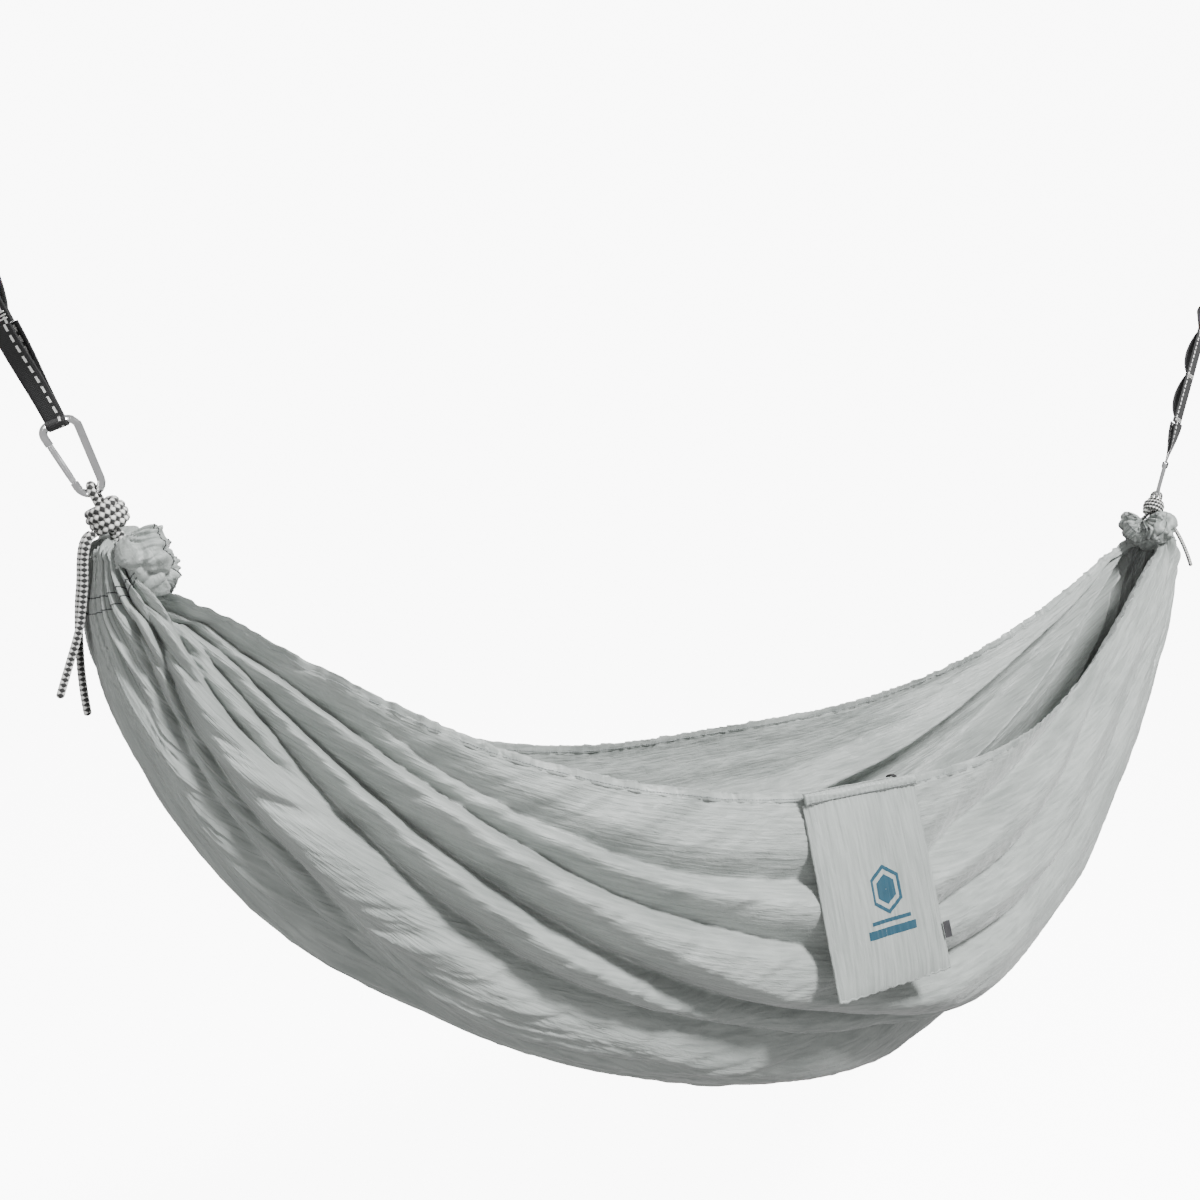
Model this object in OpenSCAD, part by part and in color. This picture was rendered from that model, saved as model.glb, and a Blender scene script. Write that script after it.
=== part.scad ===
// Camping hammock hung on two daisy-chain tree straps.
// The origin is the centre of the left strap's tree eye, +X runs to the right eye and +Z is up.
// Inside, everything is drawn about the middle of the line between the two gathered fabric ends.

/* [Fabric] */
// Distance between the two gathered ends
gather_span = 2100; // [2000:10:2200]
// Drop of the side hems below the gathered ends
hem_sag = 335; // [320:5:350]
// Drop of the lowest fabric below the gathered ends
belly_sag = 785; // [760:5:820]
// Half width of the open mouth, less the gather radius
mouth_half = 165; // [155:1:175]
// Radius of the gathered fabric around the end channel
gather_r = 52; // [50:1:56]
// How far the lower fabric swings out past the gathers
end_bulge = 40; // [30:1:50]
// How far the belly hangs towards the front
belly_shift = 70; // [60:1:80]
// Wall thickness of the fabric solid
fabric_t = 3; // [2:0.5:4]

/* [Rope and suspension] */
// Diameter of the braided gathering rope
rope_d = 8; // [7:0.5:8]
// Angle of the suspension lines above the horizontal
hang_angle = 64; // [60:1:68]
// Length of a carabiner between its end bars' centre lines
carabiner_len = 75; // [70:1:80]
// Diameter of the carabiner's bar
bar_d = 8; // [7:0.5:8]
// Turn of the carabiners about the suspension line
carabiner_turn = 28; // [20:1:36]

/* [Straps] */
// Width of the webbing
webbing_w = 25; // [24:1:26]
// Thickness of the webbing
webbing_t = 2; // [1.6:0.2:2]
// Distance between the bar tacks of the daisy chain
tack_pitch = 107; // [100:1:115]
// Height of a free daisy loop above the base webbing
loop_h = 14; // [10:1:18]
// Inner radius of a tree eye
eye_r = 15; // [12:1:18]

/* [Pouch] */
// Width of the storage pouch
pouch_w = 210; // [190:5:220]
// Height of the pouch below its drawcord tunnel
pouch_h = 250; // [240:5:285]
// Thickness of the empty pouch
pouch_t = 16; // [14:1:18]

/* [Hidden] */
$fn = 48;

fabric_grey = [0.62, 0.64, 0.64];
hem_grey = [0.56, 0.58, 0.58];
rope_grey = [0.80, 0.80, 0.78];
strap_black = [0.10, 0.10, 0.11];
thread_white = [0.90, 0.90, 0.88];
steel = [0.80, 0.81, 0.83];
cord_black = [0.06, 0.06, 0.07];

// Distances up a suspension line from its gather
ring_at = 2;
knot_from = 32;
knot_to = 66;
bar_low = 75;
bar_top = bar_low + carabiner_len;
first_tack = bar_top + tack_pitch;
last_tack = first_tack + 2 * tack_pitch;
eye_at = last_tack + 54;

half_span = gather_span / 2;
rope_r = rope_d / 2;
bar_r = bar_d / 2;
to_middle = [half_span + cos(hang_angle) * eye_at, 0, -sin(hang_angle) * eye_at];
left_strap_turn = 56;
right_strap_turn = -10;

// ---- helpers ----

// A round rod between two points
module rod(p, q, r) {
    d = q - p;
    translate(p)
        rotate([0, acos(d[2] / norm(d)), atan2(d[1], d[0])])
            cylinder(h = norm(d), r = r);
}

// Draws a child on the left suspension line, with z along the line, away from the gather
module on_line(side, turn = 90) {
    translate(to_middle)
        mirror([side == "right" ? 1 : 0, 0, 0])
            translate([-half_span, 0, 0])
                rotate([0, hang_angle - 90, 0])
                    rotate([0, 0, 90 - turn])
                        children();
}

// Triangles across a ring of n points, an even number, whose first point has the number at
function cap(n, at) = concat(
    [for (k = [0 : n / 2 - 2]) [at + k, at + k + 1, at + n - 2 - k]],
    [for (k = [0 : n / 2 - 2]) [at + k, at + n - 2 - k, at + n - 1 - k]]);
function turned(faces) = [for (f = faces) [f[2], f[1], f[0]]];

// A closed skin over rows of points, every row a ring with the same even number of points
module skin(rows) {
    n = len(rows[0]);
    m = len(rows);
    polyhedron(
        points = [for (row = rows) for (p = row) p],
        faces = concat(
            cap(n, 0),
            turned(cap(n, (m - 1) * n)),
            [for (i = [0 : m - 2]) for (k = [0 : n - 1])
                [i * n + k, (i + 1) * n + k, (i + 1) * n + (k + 1) % n]],
            [for (i = [0 : m - 2]) for (k = [0 : n - 1])
                [i * n + k, (i + 1) * n + (k + 1) % n, i * n + (k + 1) % n]]));
}

function unit(v) = v / norm(v);
function smooth(x) = let (c = min(1, max(0, x))) c * c * (3 - 2 * c);
function tangent(path, i) = unit(path[min(i + 1, len(path) - 1)] - path[max(i - 1, 0)]);

// A tube swept along a path; side_hint is any direction that the path never follows
module tube(path, r, sides, side_hint) {
    skin([for (i = [0 : len(path) - 1])
        let (t = tangent(path, i), a = unit(cross(t, side_hint)), b = cross(t, a))
        [for (k = [0 : sides - 1]) path[i] + r * (cos(360 * k / sides) * a + sin(360 * k / sides) * b)]]);
}

// ---- fabric ----

hem_power = 2.6;
belly_power = 1.6;
fullness = 0.5;
front_lean = 0.25;

function hem_drop(s) = hem_sag * (1 - pow(abs(s), hem_power));
function belly_drop(s) = belly_sag * sqrt(max(0, 1 - pow(abs(s), belly_power)));
// Half width of the mouth at s; the front hem leans in towards the right end
function reach(s, v) = gather_r + mouth_half * (1 - s * s) / (1 + s * s) * (v < 0 ? 1 - front_lean * s : 1);

// The fabric: s runs from the left end, -1, to the right end, 1, and v from the front hem, -1, to the back, 1
function fabric(s, v) =
    let (c = cos(90 * v), w = sin(90 * v) * (1 + fullness * c))
    [s * (half_span + end_bulge * c),
     reach(s, v) * w - belly_shift * (1 - s * s) * c,
     -hem_drop(s) - (belly_drop(s) - hem_drop(s)) * c];

function in_range(x) = min(1, max(-1, x));
function fabric_normal(s, v) =
    let (d = 0.01)
    unit(cross(fabric(in_range(s + d), v) - fabric(in_range(s - d), v),
               fabric(s, in_range(v + d)) - fabric(s, in_range(v - d))));

cells_along = 48;
cells_across = 24;

module hammock_body() {
    outside = [for (j = [0 : cells_across]) [2 * j / cells_across - 1, 0]];
    inside = [for (j = [cells_across : -1 : 0]) [2 * j / cells_across - 1, fabric_t]];
    color(fabric_grey) translate(to_middle)
        skin([for (i = [0 : cells_along])
            let (s = sin(180 * i / cells_along - 90))
            [for (q = concat(outside, inside)) fabric(s, q[0]) + q[1] * fabric_normal(s, q[0])]]);
}

hem_r = 4;
// Points along a hem, one hem radius above the fabric's edge; v is -1 for the front and 1 for the back
function hem_path(v) = [for (i = [1 : 2 : cells_along - 1])
    let (s = sin(180 * i / cells_along - 90), edge = fabric(s, v), below = fabric(s, 0.96 * v))
    edge + (hem_r + 0.3) * unit(edge - below) + fabric_t / 2 * fabric_normal(s, v)];

module edge_hem(v) {
    color(hem_grey) translate(to_middle) tube(hem_path(v), hem_r, 8, [0, 1, 0.3]);
}

// ---- gathered ends: a ruffled channel bunched on a rope ring, under a wrapped knot ----

ring_r = 26;
channel_r = 20;
channel_half_arc = 125;
ring_half_arc = 145;

// An arc of tube in the plane of the suspension line, open at its top
module ring_arc(half_arc) {
    translate([0, 0, ring_at])
        rotate([0, 90, 0])
            rotate([0, 0, -half_arc])
                rotate_extrude(angle = 2 * half_arc)
                    translate([ring_r, 0])
                        children();
}

module end_channel(side) {
    color(fabric_grey) on_line(side)
        ring_arc(channel_half_arc)
            difference() {
                circle(r = channel_r);
                circle(r = rope_r + 0.4);
            }
}

module rope_ring(side) {
    steps = 20;
    inside_channel = [for (i = [0 : steps])
        let (a = ring_half_arc * (2 * i / steps - 1))
        [0, ring_r * sin(a), ring_at - ring_r * cos(a)]];
    into_knot = [0, 8, knot_from + 2];
    path = concat([[0, -into_knot[1], into_knot[2]]], inside_channel, [into_knot]);
    color(rope_grey) on_line(side) tube(path, rope_r, 12, [1, 0, 0]);
}

wrap_r = 4.4;
wrap_step = (knot_to - knot_from - 8.5) / 3;
wrap_radii = [15.5, 17, 16.5, 13.5];

module rope_knot(side) {
    color(rope_grey) on_line(side, carabiner_turn) {
        for (i = [0 : 3])
            translate([0, 0, knot_from + 4.25 + i * wrap_step])
                rotate_extrude()
                    translate([wrap_radii[i], 0])
                        circle(r = wrap_r);
        translate([0, 0, knot_from + 1])
            cylinder(h = knot_to - knot_from - 2, r = 12.5);
    }
}

bight_r = rope_r + bar_r + 0.5;

module rope_bight(side) {
    color(rope_grey) on_line(side, carabiner_turn)
        translate([0, 0, bar_low]) {
            rotate([90, 0, 0])
                rotate_extrude(angle = 180)
                    translate([bight_r, 0])
                        circle(r = rope_r);
            for (k = [-1, 1])
                translate([k * bight_r, 0, knot_to - bar_low - 2])
                    cylinder(h = bar_low - knot_to + 2, r = rope_r);
        }
}

// Free rope ends, as points from the gather: x outwards, y to the back, z up
left_tail_long = [[-36, -5, 27], [-41, -6, 23], [-45, -7, 14], [-47, -7, 0], [-48, -8, -20], [-50, -8, -40],
    [-53, -9, -60], [-58, -10, -78], [-64, -11, -96], [-70, -12, -114], [-76, -13, -132]];
left_tail_short = [[-36, 5, 27], [-41, 5, 23], [-45, 4, 14], [-47, 4, 0], [-48, 4, -20], [-50, 4, -40],
    [-51, 4, -62], [-51, 4, -85], [-50, 5, -108], [-48, 5, -132], [-45, 5, -155]];
right_tail_long = [[38, -13, 26], [44, -14, 25], [50, -17, 19], [55, -23, 9], [59, -30, -3], [62, -38, -18],
    [65, -46, -36], [68, -54, -57], [71, -61, -80]];
right_tail_short = [[36, -3, 27], [41, -4, 24], [44, -8, 16], [46, -16, 5], [48, -24, -8], [50, -29, -26],
    [50, -32, -46], [50, -33, -65], [50, -34, -84]];

module rope_tail(x, points) {
    color(rope_grey) translate(to_middle + [x, 0, 0]) tube(points, rope_r, 10, [1, 0, 0.1]);
}

// ---- carabiners: x across the plane, y from the spine to the gate, z up the line ----

foot_r = 12;
head_r = 9;
head_half = 8;
foot_c = [0, foot_r];
head_c = [head_half, carabiner_len - head_r];
// Angle of the gate side's outward normal, where it touches both end arcs
side_tilt = atan2(head_c[1] - foot_c[1], head_c[0]) - acos((foot_r - head_r) / norm(head_c - foot_c));
side_out = [cos(side_tilt), sin(side_tilt)];
side_foot = foot_c + foot_r * side_out;
hinge_at = 9;
gate_len = 37;
gate_r = 3.3;
tongue_t = 3;
slot_t = 3.5;
rivet_r = 1.2;
pin_r = 1;
pin_at = gate_len - 3;

function in_plane(p) = [0, p[0], p[1]];

arc_steps = 10;
function end_arc(centre, r, from, to) = [for (i = [0 : arc_steps])
    let (a = from + (to - from) * i / arc_steps)
    in_plane(centre + r * [cos(a), sin(a)])];
side_up = [-side_out[1], side_out[0]];
// Middle line of the bar, from the gate's hinge round by the spine to its nose
bar_line = concat(
    [in_plane(side_foot + (hinge_at - gate_r - 0.4) * side_up)],
    end_arc(foot_c, foot_r, 360 + side_tilt, 180 - side_tilt),
    end_arc([-head_half, head_c[1]], head_r, 180 - side_tilt, 90),
    end_arc(head_c, head_r, 90, side_tilt),
    [in_plane(side_foot + (hinge_at + gate_len + 0.4) * side_up)]);

// Draws children on the gate side: z up the gate from its hinge, y outwards
module at_gate(side) {
    on_line(side, carabiner_turn)
        translate([0, 0, bar_low])
            translate(in_plane(side_foot))
                rotate([side_tilt, 0, 0])
                    translate([0, 0, hinge_at])
                        children();
}

module across_gate(r, length) {
    rotate([0, 90, 0]) cylinder(h = length, r = r, center = true);
}

module carabiner_body(side) {
    color(steel) {
        on_line(side, carabiner_turn)
            translate([0, 0, bar_low])
                tube(bar_line, bar_r, 16, [1, 0, 0]);
        at_gate(side) {
            difference() {
                union() {
                    translate([-tongue_t / 2, -2.4, -gate_r - 1.4])
                        cube([tongue_t, 4.8, gate_r + 1.4]);
                    across_gate(2.4, tongue_t);
                }
                across_gate(rivet_r, tongue_t + 1);
            }
            difference() {
                translate([-tongue_t / 2, -2.3, pin_at - 2.2])
                    cube([tongue_t, 4.6, gate_len - pin_at + 3.6]);
                translate([0, 0, pin_at]) across_gate(pin_r + 0.3, tongue_t + 1);
                translate([-tongue_t, -4, pin_at - pin_r - 0.3]) cube([2 * tongue_t, 4, 2 * pin_r + 0.6]);
            }
        }
    }
}

module gate_rivet(side) {
    color(steel) at_gate(side) {
        across_gate(rivet_r, 2 * gate_r + 0.6);
        for (k = [-1, 1])
            translate([k * (gate_r + 0.5), 0, 0])
                across_gate(1.8, 0.6);
    }
}

spring_bore = 2;

module gate_arm(side) {
    color(steel) at_gate(side)
        difference() {
            union() {
                cylinder(h = gate_len, r = gate_r);
                intersection() {
                    translate([0, 0, -gate_r]) cylinder(h = 2 * gate_r, r = gate_r);
                    across_gate(gate_r, 2 * gate_r + 1);
                }
            }
            translate([-slot_t / 2, -5, -5]) cube([slot_t, 10, 8.5]);
            translate([-slot_t / 2, -5, pin_at - 3]) cube([slot_t, 10, 10]);
            translate([0, 0, 2]) cylinder(h = 21, r = spring_bore);
            across_gate(rivet_r + 0.05, 10);
            translate([0, 0, pin_at]) across_gate(pin_r, 10);
        }
}

module gate_pin(side) {
    color(steel) at_gate(side)
        translate([0, 0, pin_at])
            across_gate(pin_r, 2 * gate_r - 0.6);
}

module gate_plunger(side) {
    color(steel) at_gate(side) {
        translate([0, 0, 2.7]) cylinder(h = 5.3, r = 1.4);
        translate([0, 0, 6]) cylinder(h = 2, r = spring_bore - 0.1);
    }
}

// A helical wire spring along z
module helix(r, wire_r, length, turns) {
    steps = 10;
    path = [for (i = [0 : turns * steps])
        [r * cos(360 * i / steps), r * sin(360 * i / steps), length * i / (turns * steps)]];
    tube(path, wire_r, 6, [0, 0, 1]);
}

module gate_spring(side) {
    color(steel) at_gate(side)
        translate([0, 0, 8.5])
            helix(1.5, 0.3, 13.8, 8);
}

// ---- straps: x away from the base webbing's outer face, y across the webbing, z up the line ----

function strap_turn(side) = side == "left" ? left_strap_turn : right_strap_turn;
tack_flat = 8;
loop_steps = 20;
neck_from = last_tack + tack_flat;

// Side profile extruded across the webbing: the profile's x is the strap's x, and its y the strap's z
module across_webbing(side) {
    on_line(side, strap_turn(side))
        rotate([90, 0, 0])
            linear_extrude(webbing_w, center = true)
                children();
}

// A strip of webbing thickness along a line of [height, distance] points
module strip(points) {
    polygon(concat(
        [for (p = points) p],
        [for (i = [len(points) - 1 : -1 : 0]) points[i] + [webbing_t, 0]]));
}

function free_loop(from) = [for (i = [0 : loop_steps])
    let (f = i / loop_steps)
    [loop_h * pow(sin(180 * f), 0.8), from + tack_flat / 2 + f * (tack_pitch - tack_flat)]];

module daisy_loops(side) {
    color(strap_black) across_webbing(side)
        strip(concat(
            [[0, first_tack - tack_flat]],
            free_loop(first_tack),
            free_loop(first_tack + tack_pitch),
            [[0, neck_from]]));
}

module base_webbing(side) {
    color(strap_black) across_webbing(side)
        translate([-webbing_t, first_tack - tack_flat])
            square([webbing_t, neck_from - first_tack + tack_flat]);
}

module tree_eye(side) {
    ring_out = eye_r + webbing_t;
    color(strap_black) across_webbing(side)
        difference() {
            union() {
                translate([0, eye_at]) circle(r = ring_out);
                polygon([[-webbing_t, neck_from], [webbing_t, neck_from],
                    [ring_out * 0.9, eye_at - ring_out * 0.43], [-ring_out * 0.9, eye_at - ring_out * 0.43]]);
            }
            translate([0, eye_at]) circle(r = eye_r);
        }
}

line_step = 3.2;
tack_w = 19;
thread_t = 0.5;

module bar_tacks(side) {
    color(thread_white) on_line(side, strap_turn(side))
        for (at = [first_tack, first_tack + tack_pitch, last_tack])
            for (k = [-1 : 1])
                for (face = [-webbing_t - thread_t, webbing_t])
                    translate([face, -tack_w / 2, at + k * line_step - 0.75])
                        cube([thread_t, tack_w, 1.5]);
}

end_loop_r = bar_r + 0.4 + webbing_t / 2;
end_loop_w = 20;
end_loop_top = first_tack - tack_flat;
leg_steps = 14;
// Each leg's distance from the middle at its tack
leg_from = webbing_t / 2 + 0.35;
bend_steps = 12;

// Middle line of the end loop: down one leg, round the bar and up the other, as [height, distance]
function leg(k, from_top) = [for (i = [0 : leg_steps - 1])
    let (f = from_top ? i / leg_steps : 1 - (i + 1) / leg_steps)
    [k * (leg_from + (end_loop_r - leg_from) * smooth(1.15 * f)),
     end_loop_top + (bar_top - end_loop_top) * f]];
end_loop_line = concat(
    leg(-1, true),
    [for (i = [0 : bend_steps]) [-end_loop_r * cos(180 * i / bend_steps),
                                 bar_top - end_loop_r * sin(180 * i / bend_steps)]],
    leg(1, false));

// The end loop turns about the line, from the strap's turn at its tack to the carabiner's at the bar
function end_loop_ring(i, turn) =
    let (p = end_loop_line[i],
         t = tangent(end_loop_line, i),
         across = [-t[1], t[0]],
         f = smooth((end_loop_top - p[1]) / (end_loop_top - bar_top - 6)),
         a = -f * (carabiner_turn - turn),
         half_w = (webbing_w + f * (end_loop_w - webbing_w)) / 2)
    [for (q = [[-1, 1], [1, 1], [1, -1], [-1, -1]])
        let (x = p[0] + q[0] * across[0] * webbing_t / 2,
             z = p[1] + q[0] * across[1] * webbing_t / 2,
             y = q[1] * half_w)
        [x * cos(a) - y * sin(a), x * sin(a) + y * cos(a), z]];

module end_loop(side) {
    color(strap_black) on_line(side, strap_turn(side))
        skin([for (i = [0 : len(end_loop_line) - 1]) end_loop_ring(i, strap_turn(side))]);
}

// ---- storage pouch on the front hem: z up its panels, y to the back ----

pouch_x = -170;
pouch_turn = -4.5;
pouch_lean = -16.5;
panel_t = 1.5;
tunnel_h = 14;
tunnel_t = 4;
corner_r = 5;
// The hinge tape stops short of the drawcord's strands
tape_len = 165;
// Hinge line: just outside the front hem
pouch_hinge = [pouch_x, -220, -323];

module at_pouch_hinge() {
    translate(to_middle + pouch_hinge) rotate([0, 0, pouch_turn]) children();
}

module at_pouch() {
    at_pouch_hinge() rotate([pouch_lean, 0, 0]) children();
}

// A rounded rectangle from y = -depth to y = 0
module slab(w, depth, r) {
    hull()
        for (x = [-w / 2 + r, w / 2 - r])
            for (y = [-depth + r, -r])
                translate([x, y]) circle(r = r, $fn = 24);
}

module pouch_tape() {
    color(hem_grey) at_pouch_hinge()
        translate([-pouch_w / 2 + 5, 0.5, -9])
            cube([tape_len, 1.6, 10]);
}

module pouch_tunnel() {
    color(hem_grey) at_pouch()
        translate([0, 0, -tunnel_h])
            linear_extrude(tunnel_h)
                difference() {
                    slab(pouch_w + 4, pouch_t + 4, corner_r);
                    translate([0, -tunnel_t]) slab(pouch_w + 4 - 2 * tunnel_t, pouch_t + 4 - 2 * tunnel_t, 2);
                }
}

module pouch_back_panel() {
    color(fabric_grey) at_pouch()
        translate([-pouch_w / 2, -panel_t - 0.5, -tunnel_h - pouch_h])
            cube([pouch_w, panel_t, pouch_h]);
}

module pouch_front_panel() {
    color(fabric_grey) at_pouch()
        translate([0, -panel_t - 0.5, -tunnel_h - pouch_h])
            difference() {
                linear_extrude(pouch_h) slab(pouch_w, pouch_t - panel_t, corner_r);
                translate([0, 0, panel_t])
                    linear_extrude(pouch_h)
                        translate([0, 1]) slab(pouch_w - 2 * panel_t, pouch_t - 2 * panel_t + 1, 2);
            }
}

label_w = 12;
label_h = 22;
label_at = 0.8;

module pouch_label() {
    color(cord_black) at_pouch()
        translate([pouch_w / 2, -pouch_t / 2, -tunnel_h - pouch_h * label_at - label_h / 2])
            cube([label_w, 1, label_h]);
}

// ---- drawcord: two strands out of the tunnel, over the hem and down inside the hammock ----

cord_r = 1.5;
cord_x = -88;
cord_gap = 4;
// Route in the YZ plane
cord_route = [[-223.8, -334], [-223.8, -328.5], [-220.8, -324.6], [-215.5, -323.2], [-209.5, -324.8],
    [-206.5, -329.5], [-205.5, -337], [-205, -345], [-205, -358], [-205, -400], [-205, -450], [-205, -500],
    [-205, -550], [-205, -610]];
cord_end = cord_route[len(cord_route) - 1];

module drawcord_strand(k) {
    path = [for (p = cord_route) [cord_x + k * cord_gap / 2, p[0], p[1]]];
    color(cord_black) translate(to_middle) tube(path, cord_r, 8, [1, 0, 0]);
}

module drawcord_knot() {
    color(cord_black) translate(to_middle + [cord_x, cord_end[0], cord_end[1]]) {
        for (z = [-2.4, -5])
            translate([0, 0, z]) rotate_extrude() translate([3.2, 0]) circle(r = 1.6);
        translate([0, 0, -6.4]) cylinder(h = 6.4, r = 2.8);
        for (k = [-1, 1])
            rod([k, 0, -6], [k * 5, 0, -22], cord_r);
    }
}

// ---- cord lock: a barrel on the strands, with a button along +X ----

lock_at = [cord_x, -205, -352];
lock_len = 24;
lock_r = 7;
button_r = 5;
lock_floor = 2.5;
hole_w = cord_gap + 2 * cord_r + 1;
hole_t = 2 * cord_r + 0.8;
button_travel = 3;
button_tail = 14;

module at_lock() {
    translate(to_middle + lock_at) rotate([0, 90, 0]) children();
}

// The hole that the strands pass through: z is along the barrel, so the cords run along x here
module cord_hole(w) {
    translate([-10, -hole_t / 2, -w / 2]) cube([20, hole_t, w]);
}

module cord_lock_body() {
    color(cord_black) at_lock()
        difference() {
            translate([0, 0, -lock_len / 2]) cylinder(h = lock_len, r = lock_r);
            translate([0, 0, -lock_len / 2 + lock_floor]) cylinder(h = lock_len, r = button_r + 0.15);
            cord_hole(hole_w);
        }
}

module cord_lock_button() {
    color(cord_black) at_lock()
        difference() {
            union() {
                translate([0, 0, -5]) cylinder(h = 5 + lock_len / 2, r = button_r);
                translate([0, 0, lock_len / 2]) cylinder(h = 4, r = button_r);
            }
            translate([0, 0, button_travel / 2]) cord_hole(hole_w + button_travel);
        }
}

module cord_lock_spring() {
    color(steel) at_lock()
        translate([0, 0, -lock_len / 2 + lock_floor + 0.5])
            helix(3.2, 0.35, 3.6, 3);
}

hammock_body();
edge_hem(-1);  // front_edge_hem
edge_hem(1);  // back_edge_hem
end_channel("left");  // left_end_channel
rope_ring("left");  // left_rope_ring
rope_knot("left");  // left_rope_knot
rope_bight("left");  // left_rope_bight
rope_tail(-half_span, left_tail_long);  // left_rope_tail_long
rope_tail(-half_span, left_tail_short);  // left_rope_tail_short
end_channel("right");  // right_end_channel
rope_ring("right");  // right_rope_ring
rope_knot("right");  // right_rope_knot
rope_bight("right");  // right_rope_bight
rope_tail(half_span, right_tail_long);  // right_rope_tail_long
rope_tail(half_span, right_tail_short);  // right_rope_tail_short
carabiner_body("left");  // left_carabiner_body
gate_rivet("left");  // left_gate_rivet
gate_arm("left");  // left_gate_arm
gate_pin("left");  // left_gate_pin
gate_plunger("left");  // left_gate_plunger
gate_spring("left");  // left_gate_spring
carabiner_body("right");  // right_carabiner_body
gate_rivet("right");  // right_gate_rivet
gate_arm("right");  // right_gate_arm
gate_pin("right");  // right_gate_pin
gate_plunger("right");  // right_gate_plunger
gate_spring("right");  // right_gate_spring
tree_eye("left");  // left_tree_eye
base_webbing("left");  // left_base_webbing
daisy_loops("left");  // left_daisy_loops
end_loop("left");  // left_end_loop
bar_tacks("left");  // left_bar_tacks
tree_eye("right");  // right_tree_eye
base_webbing("right");  // right_base_webbing
daisy_loops("right");  // right_daisy_loops
end_loop("right");  // right_end_loop
bar_tacks("right");  // right_bar_tacks
pouch_tape();
pouch_back_panel();
pouch_front_panel();
pouch_tunnel();
pouch_label();
drawcord_strand(-1);  // drawcord_strand_a
drawcord_strand(1);  // drawcord_strand_b
drawcord_knot();
cord_lock_body();
cord_lock_button();
cord_lock_spring();
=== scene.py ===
"""The looks of the camping hammock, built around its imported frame. Metres, +Z up."""
import math

import bpy
import numpy as np
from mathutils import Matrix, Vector


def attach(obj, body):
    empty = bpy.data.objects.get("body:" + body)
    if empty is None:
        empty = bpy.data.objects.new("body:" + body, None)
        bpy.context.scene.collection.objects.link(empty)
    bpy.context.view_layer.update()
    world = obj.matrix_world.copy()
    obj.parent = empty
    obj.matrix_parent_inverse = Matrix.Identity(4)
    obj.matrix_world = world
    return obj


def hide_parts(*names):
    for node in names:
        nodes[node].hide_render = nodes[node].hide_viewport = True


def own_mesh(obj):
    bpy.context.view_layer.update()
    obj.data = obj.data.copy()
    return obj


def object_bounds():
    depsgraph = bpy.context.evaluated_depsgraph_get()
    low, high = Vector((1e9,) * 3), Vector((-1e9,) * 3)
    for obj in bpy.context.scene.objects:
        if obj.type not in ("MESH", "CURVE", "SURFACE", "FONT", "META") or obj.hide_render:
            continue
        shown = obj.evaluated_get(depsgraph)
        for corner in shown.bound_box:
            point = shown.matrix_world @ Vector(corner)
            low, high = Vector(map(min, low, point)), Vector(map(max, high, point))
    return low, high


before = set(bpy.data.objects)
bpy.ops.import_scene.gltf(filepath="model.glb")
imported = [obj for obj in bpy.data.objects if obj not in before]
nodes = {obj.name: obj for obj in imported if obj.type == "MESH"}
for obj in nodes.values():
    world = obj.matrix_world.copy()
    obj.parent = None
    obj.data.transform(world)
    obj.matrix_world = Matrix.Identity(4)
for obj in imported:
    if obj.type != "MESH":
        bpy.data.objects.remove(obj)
cad_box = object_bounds()

# ---- driving sizes, the same as the frame's own ----

SPAN = 2.1
HEM_SAG = 0.335
BELLY_SAG = 0.785
MOUTH_HALF = 0.165
GATHER_R = 0.052
END_BULGE = 0.04
BELLY_SHIFT = 0.07
HEM_POWER = 2.6
BELLY_POWER = 1.6
FULLNESS = 0.5
FRONT_LEAN = 0.25
ROPE_R = 0.004
ROPE_RELIEF = 0.0004
HANG = math.radians(64)
RING_AT = 0.002
RING_R = 0.026
KNOT = (0.032, 0.066)
BAR_LOW = 0.075
BAR_TOP = 0.150
BAR_R = 0.004
TACK_PITCH = 0.107
FIRST_TACK = BAR_TOP + TACK_PITCH
LAST_TACK = FIRST_TACK + 2 * TACK_PITCH
EYE_AT = LAST_TACK + 0.054
EYE_R = 0.015
# The straps' webbing, and how far a daisy loop stands out from the base webbing
WEBBING_W = 0.025
WEBBING_T = 0.002
LOOP_H = 0.014
CARABINER_TURN = 28
STRAP_TURN = {"left": 56, "right": -10}
FLAT_CUT = (1.25, 2.9)
# Flat area of the cut: its ends are curved, so that the hems are shorter than the middle
FOLD_DEPTH = 1.75

HALF = SPAN / 2
MIDDLE = np.array([HALF + math.cos(HANG) * EYE_AT, 0, -math.sin(HANG) * EYE_AT])

# ---- camera ----

CAMERA_FROM_MIDDLE = (-1.446, -1.239, 0.061)
CAMERA_TILT = 4.8
CAMERA_HEADING = -39.1

camera = bpy.data.objects.new("camera", bpy.data.cameras.new("camera"))
camera.data.lens = 36
camera.data.sensor_width = 36
camera.location = Vector(MIDDLE) + Vector(CAMERA_FROM_MIDDLE)
camera.rotation_euler = (math.radians(90 - CAMERA_TILT), 0, math.radians(CAMERA_HEADING))
bpy.context.scene.collection.objects.link(camera)
bpy.context.scene.camera = camera


# ---- numbers: smoothing, noise, curves ----

def smooth(x):
    c = np.clip(x, 0, 1)
    return c * c * (3 - 2 * c)


def noise(u, v, seed):
    """Smooth value noise of about -1 to 1, one cell per unit of u and v, which may be numbers or arrays."""
    table = np.random.RandomState(seed).uniform(-1, 1, (64, 64))
    i, j = np.floor(u).astype(int), np.floor(v).astype(int)
    fu, fv = smooth(u - i), smooth(v - j)
    low = table[i % 64, j % 64] * (1 - fu) + table[(i + 1) % 64, j % 64] * fu
    high = table[i % 64, (j + 1) % 64] * (1 - fu) + table[(i + 1) % 64, (j + 1) % 64] * fu
    return low * (1 - fv) + high * fv


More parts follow.
